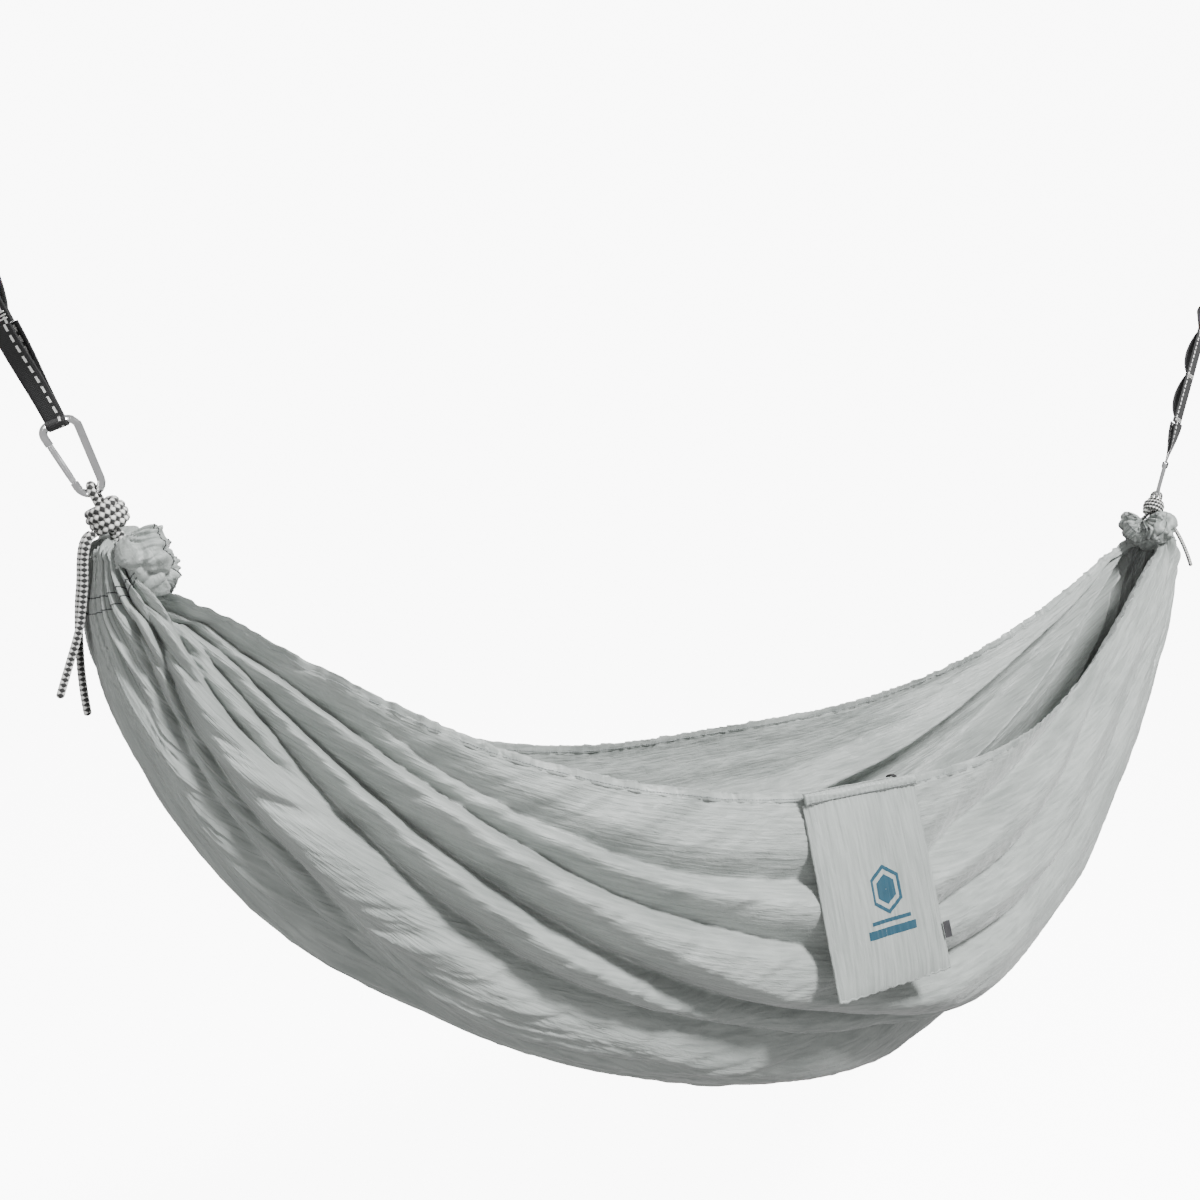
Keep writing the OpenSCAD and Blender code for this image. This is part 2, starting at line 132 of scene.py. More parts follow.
def unit(vectors):
    return vectors / np.maximum(np.linalg.norm(vectors, axis=-1, keepdims=True), 1e-12)


def joint(*parts):
    """Parts of points or UVs, as arrays or numbers, spread to one shape and stacked last."""
    return np.stack(np.broadcast_arrays(*parts), -1)


def length_along(points):
    steps = np.linalg.norm(np.diff(points, axis=0), axis=1)
    return np.concatenate([[0], np.cumsum(steps)])


def through(points, step=0.0009):
    """An even line of points, step apart, on a smooth curve through points."""
    p = np.array(points, float)
    p = np.vstack([2 * p[0] - p[1], p, 2 * p[-1] - p[-2]])
    f = np.linspace(0, 1, 24, endpoint=False)[:, None]
    parts = []
    for a, b, c, d in zip(p, p[1:], p[2:], p[3:]):
        parts.append(0.5 * (2 * b + (c - a) * f + (2 * a - 5 * b + 4 * c - d) * f**2
                            + (3 * b - a - 3 * c + d) * f**3))
    fine = np.vstack(parts + [p[-2:-1]])
    return even(fine, step)


def sampled(values, along, at):
    """Values known at distances along a line, read at other distances."""
    return np.stack([np.interp(at, along, values[:, k]) for k in range(3)], 1)


def even(line, step):
    along = length_along(line)
    return sampled(line, along, np.linspace(0, along[-1], max(2, int(round(along[-1] / step)) + 1)))


# ---- meshes ----

def grid_mesh(name, points, material, body, uv=None, wrap=False, capped=False):
    """A mesh over rows of points; wrap joins each row into a ring, and capped closes the end rings."""
    m, n = points.shape[:2]
    columns = n if wrap else n - 1
    i, j = np.meshgrid(np.arange(m - 1), np.arange(columns), indexing="ij")
    k = (j + 1) % n
    quads = np.stack([i * n + j, i * n + k, (i + 1) * n + k, (i + 1) * n + j], -1).reshape(-1, 4)
    faces = quads.tolist()
    if capped:
        faces.append(list(range(n))[::-1])
        faces.append([(m - 1) * n + q for q in range(n)])
    mesh = bpy.data.meshes.new(name)
    mesh.from_pydata(points.reshape(-1, 3).tolist(), [], faces)
    if uv is not None:
        corner = [(i, j), (i, j + 1), (i + 1, j + 1), (i + 1, j)]
        pairs = np.stack([uv[a, b] for a, b in corner], 2).reshape(-1, 2)
        flat = np.zeros((len(mesh.loops), 2), np.float32)
        flat[:len(pairs)] = pairs
        mesh.uv_layers.new(name="cloth").data.foreach_set("uv", flat.ravel())
    return placed(name, mesh, material, body)


def tube(name, rings, material, body, uv=None):
    return grid_mesh(name, rings, material, body, uv=uv, wrap=True, capped=True)


def placed(name, mesh, material, body):
    mesh.polygons.foreach_set("use_smooth", np.ones(len(mesh.polygons), bool))
    mesh.materials.append(material)
    piece = bpy.data.objects.new(name, mesh)
    bpy.context.scene.collection.objects.link(piece)
    if body:
        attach(piece, body)
    return piece


def dress(piece, node):
    """Show a piece in the place of a CAD node."""
    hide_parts(node)
    return piece


def coat(material, *names):
    for name in names:
        nodes[name].material_slots[0].material = material


def frames_along(line, hint):
    """Tangents and two cross directions along a line, turning as little as they can."""
    tangents = unit(np.gradient(line, axis=0))
    side = np.empty_like(line)
    side[0] = unit(np.cross(tangents[0], np.array(hint, float)))
    for k in range(1, len(line)):
        side[k] = unit(side[k - 1] - tangents[k] * (side[k - 1] @ tangents[k]))
    return tangents, side, np.cross(tangents, side)


STRANDS = 3
BRAID_PITCH = 0.0052


def braid_height(turn, along):
    """Relief of a braid, 0 to 1; turn is the angle about the rope as a share of a turn."""
    p = STRANDS * turn + along / BRAID_PITCH
    q = STRANDS * turn - along / BRAID_PITCH
    return np.sqrt(np.abs(np.sin(np.pi * p) * np.sin(np.pi * q)))


def rope_rings(line, radius, relief, sides=28, hint=(1, 0, 0.1), blunt=(False, False)):
    """Rings of a braided rope along a line, with UVs: share of a turn, and metres along."""
    _, a, b = frames_along(line, hint)
    along = length_along(line)[:, None]
    turn = np.arange(sides + 1)[None, :] / sides
    r = radius - relief + relief * braid_height(turn, along)
    ends = np.ones_like(along)
    for at_end, distance in zip(blunt, (along, along[-1] - along)):
        if at_end:
            x = np.clip(distance / radius, 0, 1)
            ends = ends * np.sqrt(np.clip(1 - (1 - x) ** 2.5, 0.02, 1))
    angle = 2 * np.pi * turn[..., None]
    rings = line[:, None, :] + (r * ends)[..., None] * (np.cos(angle) * a[:, None] + np.sin(angle) * b[:, None])
    uv = joint(turn, along)
    return rings[:, :-1], uv


def rope(name, line, radius=ROPE_R, **more):
    rings, uv = rope_rings(line, radius, ROPE_RELIEF, **more)
    return tube(name, rings, ROPE, "hammock", uv)


def cord(name, line, **more):
    rings, uv = rope_rings(line, CORD_R, CORD_RELIEF, sides=14, **more)
    return tube(name, rings, DRAWCORD, "hammock", uv)


def joined(pieces):
    """The first of some pieces, with the others joined into it."""
    with bpy.context.temp_override(active_object=pieces[0], selected_editable_objects=pieces):
        bpy.ops.object.join()
    return pieces[0]


# ---- materials ----

class Shader:
    """A material's nodes; calls return output sockets."""

    def __init__(self, name, **settings):
        self.material = bpy.data.materials.new(name)
        self.material.use_nodes = True
        self.tree = self.material.node_tree
        self.surface = self.tree.nodes["Principled BSDF"]
        for key, value in settings.items():
            self.surface.inputs[key.replace("_", " ")].default_value = value

    def node(self, kind, inputs=(), **settings):
        node = self.tree.nodes.new(kind)
        for key, value in settings.items():
            setattr(node, key, value)
        for key, value in dict(inputs).items():
            if isinstance(value, bpy.types.NodeSocket):
                self.tree.links.new(value, node.inputs[key])
            else:
                node.inputs[key].default_value = value
        return node

    def math(self, operation, *values):
        return self.node("ShaderNodeMath", enumerate(values), operation=operation).outputs[0]

    def uv(self):
        return self.node("ShaderNodeTexCoord").outputs["UV"]

    def uv_parts(self):
        return list(self.node("ShaderNodeSeparateXYZ", {0: self.uv()}).outputs)[:2]

    def place(self):
        return self.node("ShaderNodeTexCoord").outputs["Object"]

    def noise(self, vector, scale, detail=2.0, distortion=0.0, turn=0.0):
        values = {"Vector": vector, "Scale": scale, "Rotation": (0, 0, turn)}
        place = self.node("ShaderNodeMapping", values).outputs[0]
        values = {"Vector": place, "Scale": 1.0, "Detail": detail, "Distortion": distortion}
        return self.node("ShaderNodeTexNoise", values).outputs["Fac"]

    def ramp(self, value, *stops):
        """A colour ramp; each stop is (place, grey or colour)."""
        ramp = self.node("ShaderNodeValToRGB", {"Fac": value})
        elements = ramp.color_ramp.elements
        while len(elements) < len(stops):
            elements.new(0.5)
        for element, (at, colour) in zip(elements, stops):
            element.position = at
            rgb = (colour,) * 3 if isinstance(colour, (int, float)) else colour
            element.color = (*rgb, 1)
        return ramp.outputs["Color"]

    def mix(self, share, a, b):
        node = self.node("ShaderNodeMix", data_type="RGBA")
        for socket, value in zip((node.inputs[0], node.inputs[6], node.inputs[7]), (share, a, b)):
            if isinstance(value, bpy.types.NodeSocket):
                self.tree.links.new(value, socket)
            else:
                socket.default_value = value if isinstance(value, float) else (*value, 1)
        return node.outputs[2]

    def bump(self, height, strength, distance, below=None):
        values = {"Height": height, "Strength": strength, "Distance": distance}
        if below is not None:
            values["Normal"] = below
        return self.node("ShaderNodeBump", values).outputs["Normal"]

    def finished(self, colour, rough, normal):
        for key, socket in (("Base Color", colour), ("Roughness", rough), ("Normal", normal)):
            self.tree.links.new(socket, self.surface.inputs[key])
        return self.material


def nylon(name, light, dark):
    """Crinkled parachute nylon, with painted shade in the low parts of its streaks; UVs are metres along and across
    the cloth.
    """
    s = Shader(name, Sheen_Weight=0.25, Sheen_Roughness=0.4, Specular_IOR_Level=0.35)
    cloth = s.uv()
    streak = s.noise(cloth, (14, 210, 1), 4.0, 0.4)
    crease = s.noise(cloth, (34, 95, 1), 3.0, 0.8, 0.12)
    patch = s.noise(cloth, (5, 7, 1))
    weave = s.noise(cloth, (1500, 1500, 1), 1.0)
    # Painted shade: the colour follows the streaks' relief and is darker in their low parts, over random patches of
    # tone.
    tone = s.math("ADD", s.math("MULTIPLY", streak, 0.65), s.math("MULTIPLY", patch, 0.35))
    colour = s.ramp(tone, (0.32, dark), (0.62, light))
    rough = s.ramp(crease, (0.3, 0.36), (0.75, 0.55))
    normal = s.bump(streak, 0.8, 0.0022)
    normal = s.bump(crease, 0.6, 0.0024, normal)
    normal = s.bump(weave, 0.12, 0.0002, normal)
    return s.finished(colour, rough, normal)


def braid(name, light, dark, strands, pitch, bias=0.5):
    """A two-colour braid, with painted shade in the grooves between its strands; UVs are the share of a turn and
    metres along.
    """
    s = Shader(name, Sheen_Weight=0.3, Specular_IOR_Level=0.3)
    turn, metres = s.uv_parts()
    around = s.math("MULTIPLY", turn, float(strands))
    along = s.math("DIVIDE", metres, pitch)
    p = s.math("SINE", s.math("MULTIPLY", s.math("ADD", around, along), math.pi))
    q = s.math("SINE", s.math("MULTIPLY", s.math("SUBTRACT", around, along), math.pi))
    check = s.math("MULTIPLY", p, q)
    share = s.math("MULTIPLY_ADD", check, 6.0, bias)
    share = s.math("MINIMUM", s.math("MAXIMUM", share, 0.0), 1.0)
    fibre = s.noise(s.uv(), (40, 900, 1), 2.0, 0.0, 0.6)
    white = s.ramp(fibre, (0.3, [c * 0.75 for c in light]), (0.7, light))
    black = s.ramp(fibre, (0.3, dark), (0.8, [c * 2.2 for c in dark]))
    hollow = s.math("POWER", s.math("ABSOLUTE", check), 0.35)
    colour = s.mix(share, black, white)
    # Painted shade: the grooves between the strands go near-black, whatever the strand's colour.
    colour = s.mix(hollow, (0.02, 0.02, 0.02), colour)
    rough = s.ramp(fibre, (0.2, 0.6), (0.8, 0.85))
    normal = s.bump(fibre, 0.4, 0.0003, s.bump(hollow, 0.5, 0.0004))
    return s.finished(colour, rough, normal)


def webbing_material(name, traced):
    """Black woven webbing, with painted shade between the ribs of its weave; UVs are the share of the width and
    metres along.
    """
    s = Shader(name, Sheen_Weight=0.2, Specular_IOR_Level=0.3)
    across, along = s.uv_parts()
    rib = s.math("ABSOLUTE", s.math("SINE", s.math("MULTIPLY", along, math.pi / 0.0016)))
    cord = s.math("ABSOLUTE", s.math("SINE", s.math("MULTIPLY", across, math.pi * 14)))
    weave = s.math("MULTIPLY", rib, cord)
    fibre = s.noise(s.uv(), (60, 900, 1))
    colour = s.ramp(fibre, (0.3, (0.010, 0.010, 0.011)), (0.8, (0.035, 0.035, 0.038)))
    # Painted shade: the gaps between the weave's ribs are darker.
    colour = s.mix(weave, (0.006, 0.006, 0.006), colour)
    if traced:
        dash = s.math("LESS_THAN", s.math("FRACT", s.math("DIVIDE", along, 0.0105)), 0.62)
        line = s.math("LESS_THAN", s.math("ABSOLUTE", s.math("SUBTRACT", across, 0.26)), 0.055)
        colour = s.mix(s.math("MULTIPLY", dash, line), colour, (0.72, 0.72, 0.70))
    rough = s.ramp(fibre, (0.2, 0.55), (0.8, 0.8))
    normal = s.bump(fibre, 0.3, 0.0002, s.bump(weave, 0.6, 0.0005))
    return s.finished(colour, rough, normal)


def polished_steel(name, rough_low, rough_high):
    """Polished steel with fine drawing lines and a few wear marks."""
    s = Shader(name, Metallic=1.0)
    place = s.place()
    lines = s.noise(place, (900, 900, 60), 3.0)
    wear = s.noise(place, (70, 70, 70), 4.0, 0.5)
    colour = s.ramp(wear, (0.35, (0.78, 0.79, 0.80)), (0.6, (0.95, 0.95, 0.96)))
    rough = s.ramp(wear, (0.3, rough_high), (0.65, rough_low))
    return s.finished(colour, rough, s.bump(lines, 0.12, 0.0002))


def woven_patch(name, colour, lighter):
    """Plain woven tape or thread, by the object's own place."""
    s = Shader(name, Sheen_Weight=0.2, Specular_IOR_Level=0.3)
    fibre = s.noise(s.place(), (1400, 1400, 1400))
    patch = s.noise(s.place(), (90, 90, 90))
    tone = s.math("ADD", s.math("MULTIPLY", fibre, 0.6), s.math("MULTIPLY", patch, 0.4))
    tint = s.ramp(tone, (0.3, colour), (0.7, lighter))
    rough = s.ramp(patch, (0.3, 0.6), (0.7, 0.8))
    return s.finished(tint, rough, s.bump(fibre, 0.5, 0.0003))


def moulded_plastic(name):
    s = Shader(name, Specular_IOR_Level=0.45)
    grain = s.noise(s.place(), (700, 700, 700), 3.0)
    wear = s.noise(s.place(), (60, 60, 60))
    colour = s.ramp(wear, (0.3, (0.012, 0.012, 0.013)), (0.7, (0.03, 0.03, 0.032)))
    rough = s.ramp(wear, (0.3, 0.32), (0.7, 0.5))
    return s.finished(colour, rough, s.bump(grain, 0.2, 0.0002))


NYLON = nylon("crinkled_nylon", (0.335, 0.357, 0.343), (0.215, 0.235, 0.225))
NYLON_POUCH = nylon("pouch_nylon", (0.34, 0.365, 0.35), (0.225, 0.245, 0.235))
ROPE = braid("checked_rope", (0.92, 0.92, 0.89), (0.010, 0.010, 0.010), STRANDS, BRAID_PITCH, 0.8)
DRAWCORD = braid("black_drawcord", (0.035, 0.035, 0.038), (0.010, 0.010, 0.010), 3, 0.002)
WEBBING = webbing_material("black_webbing", False)
WEBBING_TRACED = webbing_material("traced_webbing", True)
STEEL = polished_steel("carabiner_steel", 0.07, 0.18)
GATE_STEEL = polished_steel("gate_steel", 0.14, 0.32)
THREAD_GREY = woven_patch("grey_thread", (0.20, 0.22, 0.22), (0.34, 0.36, 0.36))
THREAD_DARK = woven_patch("dark_thread", (0.030, 0.033, 0.033), (0.055, 0.06, 0.06))
THREAD_WHITE = woven_patch("white_thread", (0.62, 0.62, 0.60), (0.85, 0.85, 0.82))
LABEL = woven_patch("label_weave", (0.010, 0.010, 0.011), (0.04, 0.04, 0.045))
PRINT = woven_patch("blue_print", (0.006, 0.045, 0.072), (0.009, 0.062, 0.10))
PLASTIC = moulded_plastic("lock_plastic")


# ---- places on the suspension lines ----

def on_line(side, points, turn=90.0):
    """Points given with z up a suspension line from its gather, as the frame draws them."""
    p = np.asarray(points, float)
    a = math.radians(90 - turn)
    x = p[..., 0] * math.cos(a) - p[..., 1] * math.sin(a)
    y = p[..., 0] * math.sin(a) + p[..., 1] * math.cos(a)
    z = p[..., 2]
    tilt = HANG - math.pi / 2
    out = np.stack([x * math.cos(tilt) + z * math.sin(tilt) - HALF, y,
                    z * math.cos(tilt) - x * math.sin(tilt)], -1)
    if side == "right":
        out[..., 0] *= -1
    return out + MIDDLE


# ---- cords: the rope's four free ends and the drawcord's two strands ----

TAILS = {
    "left_rope_tail_long": [
        (-36, -5, 27), (-41, -6, 23), (-45, -7, 14), (-47, -7, 0), (-48, -8, -20), (-50, -8, -40),
        (-53, -9, -60), (-58, -10, -78), (-64, -11, -96), (-70, -12, -114), (-76, -13, -132)],
    "left_rope_tail_short": [
        (-36, 5, 27), (-41, 5, 23), (-45, 4, 14), (-47, 4, 0), (-48, 4, -20), (-50, 4, -40),
        (-51, 4, -62), (-51, 4, -85), (-50, 5, -108), (-48, 5, -132), (-45, 5, -155)],
    "right_rope_tail_long": [
        (38, -13, 26), (44, -14, 25), (50, -17, 19), (55, -23, 9), (59, -30, -3), (62, -38, -18),
        (65, -46, -36), (68, -54, -57), (71, -61, -80)],
    "right_rope_tail_short": [
        (36, -3, 27), (41, -4, 24), (44, -8, 16), (46, -16, 5), (48, -24, -8), (50, -29, -26),
        (50, -32, -46), (50, -33, -65), (50, -34, -84)],
}
CORD_R = 0.0015
CORD_RELIEF = 0.00015
CORD_X = -0.088
CORD_GAP = 0.004
CORD_ROUTE = [
    (-223.8, -334), (-223.8, -328.5), (-220.8, -324.6), (-215.5, -323.2), (-209.5, -324.8), (-206.5, -329.5),
    (-205.5, -337), (-205, -345), (-205, -358), (-205, -400), (-205, -450), (-205, -500), (-205, -550),
    (-205, -610)]
MM = 0.001


def rope_tails():
    for name, points in TAILS.items():
        gather = MIDDLE + (-HALF if name.startswith("left") else HALF, 0, 0)
        line = through(gather + MM * np.array(points))
        tail = dress(rope(name + "_braid", line, blunt=(False, True)), name)
        round(float(length_along(line)[-1]), 3)


def drawcord_knot():
    """Two turns of cord round the strands' ends, with two short tails below."""
    end = MIDDLE + (CORD_X, MM * CORD_ROUTE[-1][0], MM * CORD_ROUTE[-1][1])
    turns = [(0.0034 * math.cos(a), 0.0034 * math.sin(a), -0.0014 - 0.0030 * a / (2 * math.pi))
             for a in np.linspace(0, 4.4 * math.pi, 60)]
    lines = [[(0.001, 0, 0.001)] + turns + [(0, 0.001, -0.008)]]
    for k in (-1, 1):
        lines.append([(k * 0.001, 0, -0.004), (k * 0.002, k * 0.001, -0.010), (k * 0.0032, 0, -0.016),
                      (k * 0.005, 0, -0.022)])
    made = [cord(f"knot_{n}", through(end + np.array(line), 0.0006), hint=(0.3, 0.2, 1), blunt=(False, n > 0))
            for n, line in enumerate(lines)]
    knot = joined(made)
    knot.name = "drawcord_end_knot"
    return dress(knot, "drawcord_knot")


def drawcord():
    knot = drawcord_knot()
    for k, letter in ((-1, "a"), (1, "b")):
        points = [(CORD_X + k * CORD_GAP / 2, MM * y, MM * z) for y, z in CORD_ROUTE]
        line = through(MIDDLE + np.array(points), 0.0008)
        name = "drawcord_strand_" + letter
        strand = dress(cord(name + "_braid", line, hint=(1, 0, 0)), name)
        round(float(length_along(line)[-1]), 3)


rope_tails()
drawcord()


# ---- the hammock's cloth ----

def cloth(s, v):
    """The smooth cloth: s runs from the left end, -1, to the right, 1, and v from the front hem to the back."""
    c = np.cos(v * np.pi / 2)
    w = np.sin(v * np.pi / 2) * (1 + FULLNESS * c)
    hem = HEM_SAG * (1 - np.abs(s) ** HEM_POWER)
    belly = BELLY_SAG * np.sqrt(np.clip(1 - np.abs(s) ** BELLY_POWER, 0, 1))
    reach = GATHER_R + MOUTH_HALF * (1 - s * s) / (1 + s * s) * np.where(v < 0, 1 - FRONT_LEAN * s, 1)
    return MIDDLE + np.stack([s * (HALF + END_BULGE * c), reach * w - BELLY_SHIFT * (1 - s * s) * c,
                              -hem - (belly - hem) * c], -1)


# Creases of the cloth: the line that each follows as (t, v), its depth, and the widths of its slopes
# above and below. t is where along the cloth, -1 to 1, with s = sin(90 t).
CREASES = [
    # front, from the left gather
    ([(-0.98, -0.97), (-0.85, -0.90), (-0.70, -0.80), (-0.57, -0.64), (-0.40, -0.45), (-0.19, -0.35),
      (0.06, -0.28)], 0.034, 0.055, 0.10),
    ([(-0.98, -0.985), (-0.88, -0.935), (-0.73, -0.90), (-0.57, -0.78), (-0.40, -0.64), (-0.20, -0.46),
      (0.0, -0.40)], 0.032, 0.050, 0.06),
    ([(-0.98, -0.99), (-0.77, -0.965), (-0.62, -0.93), (-0.51, -0.87), (-0.35, -0.76), (-0.16, -0.69)],
     0.028, 0.045, 0.05),
    ([(-0.60, -0.97), (-0.43, -0.885), (-0.30, -0.835), (-0.14, -0.84)], 0.016, 0.035, 0.05),
    ([(-0.98, -0.92), (-0.85, -0.86), (-0.79, -0.76), (-0.73, -0.71), (-0.62, -0.66)], 0.026, 0.05, 0.06),
    ([(-0.98, -0.80), (-0.86, -0.70), (-0.81, -0.56), (-0.70, -0.44), (-0.55, -0.30)], 0.022, 0.05, 0.06),
    ([(-0.98, -0.62), (-0.84, -0.50), (-0.75, -0.36), (-0.62, -0.22), (-0.50, -0.14)], 0.020, 0.05, 0.06),
    ([(-0.68, -0.46), (-0.60, -0.30), (-0.48, -0.18)], 0.012, 0.03, 0.04),
    # front, from the right gather
    ([(0.98, -0.97), (0.80, -0.97), (0.44, -0.965), (0.22, -0.93), (0.04, -0.88), (-0.06, -0.82)],
     0.026, 0.045, 0.05),
    ([(0.98, -0.93), (0.70, -0.92), (0.45, -0.90), (0.17, -0.77), (0.04, -0.75), (-0.06, -0.72)],
     0.022, 0.045, 0.06),
    ([(0.98, -0.88), (0.75, -0.80), (0.50, -0.72), (0.25, -0.62), (0.04, -0.60), (-0.12, -0.58)],
     0.024, 0.045, 0.06),
    ([(0.98, -0.75), (0.75, -0.62), (0.50, -0.46), (0.25, -0.34), (0.05, -0.25)], 0.026, 0.05, 0.07),
    ([(0.98, -0.50), (0.80, -0.36), (0.60, -0.22), (0.35, -0.10)], 0.022, 0.05, 0.07),
    # back, from the right gather
    ([(0.98, 0.98), (0.75, 0.97), (0.50, 0.93), (0.27, 0.83), (0.10, 0.78), (-0.05, 0.76)], 0.024, 0.045, 0.06),
    ([(0.98, 0.95), (0.80, 0.90), (0.60, 0.80), (0.40, 0.66), (0.20, 0.56), (0.0, 0.50)], 0.030, 0.05, 0.07),
    ([(0.98, 0.90), (0.80, 0.74), (0.65, 0.58), (0.45, 0.42), (0.20, 0.30)], 0.028, 0.05, 0.07),
    ([(0.98, 0.75), (0.85, 0.55), (0.70, 0.40), (0.50, 0.24), (0.35, 0.16)], 0.022, 0.05, 0.06),
    ([(0.98, 0.50), (0.85, 0.32), (0.70, 0.18), (0.55, 0.10)], 0.018, 0.04, 0.05),
    # back, from the left gather
    ([(-0.98, 0.985), (-0.75, 0.96), (-0.52, 0.90), (-0.30, 0.84), (-0.10, 0.80)], 0.024, 0.045, 0.05),
    ([(-0.98, 0.96), (-0.80, 0.90), (-0.60, 0.78), (-0.38, 0.64), (-0.15, 0.56), (0.0, 0.54)], 0.032, 0.05, 0.07),
    ([(-0.98, 0.92), (-0.82, 0.78), (-0.62, 0.60), (-0.42, 0.44), (-0.20, 0.34), (0.0, 0.28)],
     0.030, 0.05, 0.08),
    ([(-0.98, 0.80), (-0.85, 0.60), (-0.70, 0.42), (-0.52, 0.28), (-0.35, 0.20)], 0.024, 0.05, 0.06),
    ([(-0.98, 0.50), (-0.85, 0.34), (-0.70, 0.20), (-0.55, 0.10)], 0.020, 0.045, 0.05),
]
PLEATS = 9
PLEAT_H = 0.012
PUCKER_H = 0.0028
# Soft waves and sharp crinkles of the cloth: height, size along and across it, and seed
WAVES = ((0.0045, 0.34, 0.055, 5), (0.0030, 0.22, 0.024, 6))
CRINKLES = ((0.0011, 0.055, 0.0115, 7), (0.0004, 0.030, 0.0065, 8))
ROWS_ALONG = 760
ROWS_ACROSS = 330
CUFF_ROWS = 16
CUFF_RUFFLES = 9
CUFF_ROLL = 0.006
CUFF_STEP = 0.004
# Rows of the cloth, counted from its end, that carry the gather's two stitch lines
STITCH_ROWS = (13, 18)
# How far, and over what height, the cloth closes in under its gather
PINCH = 0.36
PINCH_REACH = 0.06


def pleat_relief(t, arc_share):
    """The regular gathers at both ends, dying out along the cloth; about 1 at the gather."""
    wander = 1.9 * noise(arc_share * 5, t * 2 + 7, 3)
    wave = np.cos(np.pi * PLEATS * arc_share + wander)
    away = 1 - np.abs(t)
    reach = 0.24 + 0.16 * noise(arc_share * 9, np.sign(t) * 3 + 5, 4)
    return (np.abs(wave) * 2 - 1) * (1 - smooth(away / reach))


def crease_relief(t, arc, half_arc, crease):
    """Height, in metres, of one crease over the whole cloth: a slope in to a sharp line, then quickly out."""
    line, depth, above, below = crease
    along, across = np.array(sorted(line)).T
    even_t = np.linspace(-1, 1, 401)
    v = np.interp(even_t, along, across)
    v = np.convolve(np.pad(v, 12, "edge"), np.hanning(25) / np.hanning(25).sum(), "valid")
    column = (np.interp(t[:, 0], even_t, v) + 1) / 2 * (arc.shape[1] - 1)
    low = np.clip(np.floor(column).astype(int), 0, arc.shape[1] - 2)
    rows, share = np.arange(len(arc)), column - low
    centre = (arc[rows, low] * (1 - share) + arc[rows, low + 1] * share)[:, None]
    scale = half_arc / half_arc.max()
    away = (arc - centre) * np.sign(across.mean())
    x = np.abs(away) / (np.where(away > 0, 1.15 * above, 0.6 * below) * (0.08 + 0.92 * scale))
    x = np.sqrt(x**2 + 0.003) - 0.055
    shape = np.clip(1 - x, 0, 1) ** np.where(away > 0, 1.4, 2.0)
    lip = np.where(away < 0, 0.24 * np.sin(np.pi * np.clip((x - 0.55) / 3.2, 0, 1)), 0)
    shape = shape - lip
    start, end = along.min(), along.max()
    ends = smooth((t - start + 0.02) / 0.12) * smooth((end + 0.10 - t) / 0.22)
    if end > 0.95:
        ends = smooth((t - start + 0.10) / 0.22) * smooth((end + 0.02 - t) / 0.12)
    return -FOLD_DEPTH * depth * ends * shape * (0.12 + 0.88 * scale**0.8)


def cloth_relief(t, arc, half_arc):
    """How far the cloth stands out from the smooth one, in metres."""
    scale = half_arc / half_arc.max()
    share = arc / half_arc
    relief = PLEAT_H * (pleat_relief(t, share) - 0.25 * smooth((np.abs(t) - 0.8) / 0.2)) * (0.75 + 0.5 * scale)
    for crease in CREASES:
        relief = relief + crease_relief(t, arc, half_arc, crease)
    s = np.sin(t * np.pi / 2)
    x = s * FLAT_CUT[1] / 2
    y = share * FLAT_CUT[0] / 2
    slant = 0.6 * np.where(x < -0.6, x, -0.6 - 0.4 * np.exp(-(x + 0.6) / 0.4) + 0.4) * smooth(-y / 0.2)
    across = y + slant
    fade = smooth((1 - np.abs(t)) / 0.25)
    for height, long, wide, seed in WAVES:
        relief = relief + height * fade * noise(x / long + 20, across / wide + 11, seed)
    for height, long, wide, seed in CRINKLES:
        relief = relief + height * (1 - 2 * np.abs(noise(x / long + 30, across / wide + 11, seed)))
    edge = np.abs(np.abs(arc) - half_arc)
    pucker = noise(x / 0.0085 + 40, edge / 0.02 + 3, 9)
    return relief + PUCKER_H * pucker * np.exp(-edge / 0.016)


def hammock_surface():
    """Points, UVs and outward normals of the cloth, from end to end."""
    t = np.linspace(-1, 1, ROWS_ALONG)[:, None]
    v = np.linspace(-1, 1, ROWS_ACROSS)[None, :]
    s = np.sin(t * np.pi / 2)
    base = cloth(*np.broadcast_arrays(s, v))
    for side in (-1, 1):
        gather = MIDDLE + (side * (HALF + 0.012), 0, 0)
        near = smooth(1 + (base[..., 2:] - MIDDLE[2]) / PINCH_REACH) * (side * (base[..., :1] - MIDDLE[0]) > 0)
        base[..., :2] += PINCH * (near * (gather - base))[..., :2]
    steps = np.linalg.norm(np.diff(base, axis=1), axis=2)
    arc = np.concatenate([np.zeros((len(t), 1)), np.cumsum(steps, axis=1)], axis=1)
    half_arc = arc[:, -1:] / 2
    arc = arc - half_arc
    along, across = np.gradient(base, axis=0), np.gradient(base, axis=1)
    along[0], along[-1] = along[1], along[-2]
    normal = -unit(np.cross(along, across))
    points = base + cloth_relief(t, arc, half_arc)[..., None] * normal
    uv = joint(s * FLAT_CUT[1] / 2, arc / half_arc * FLAT_CUT[0] / 2)
    return points, uv, normal


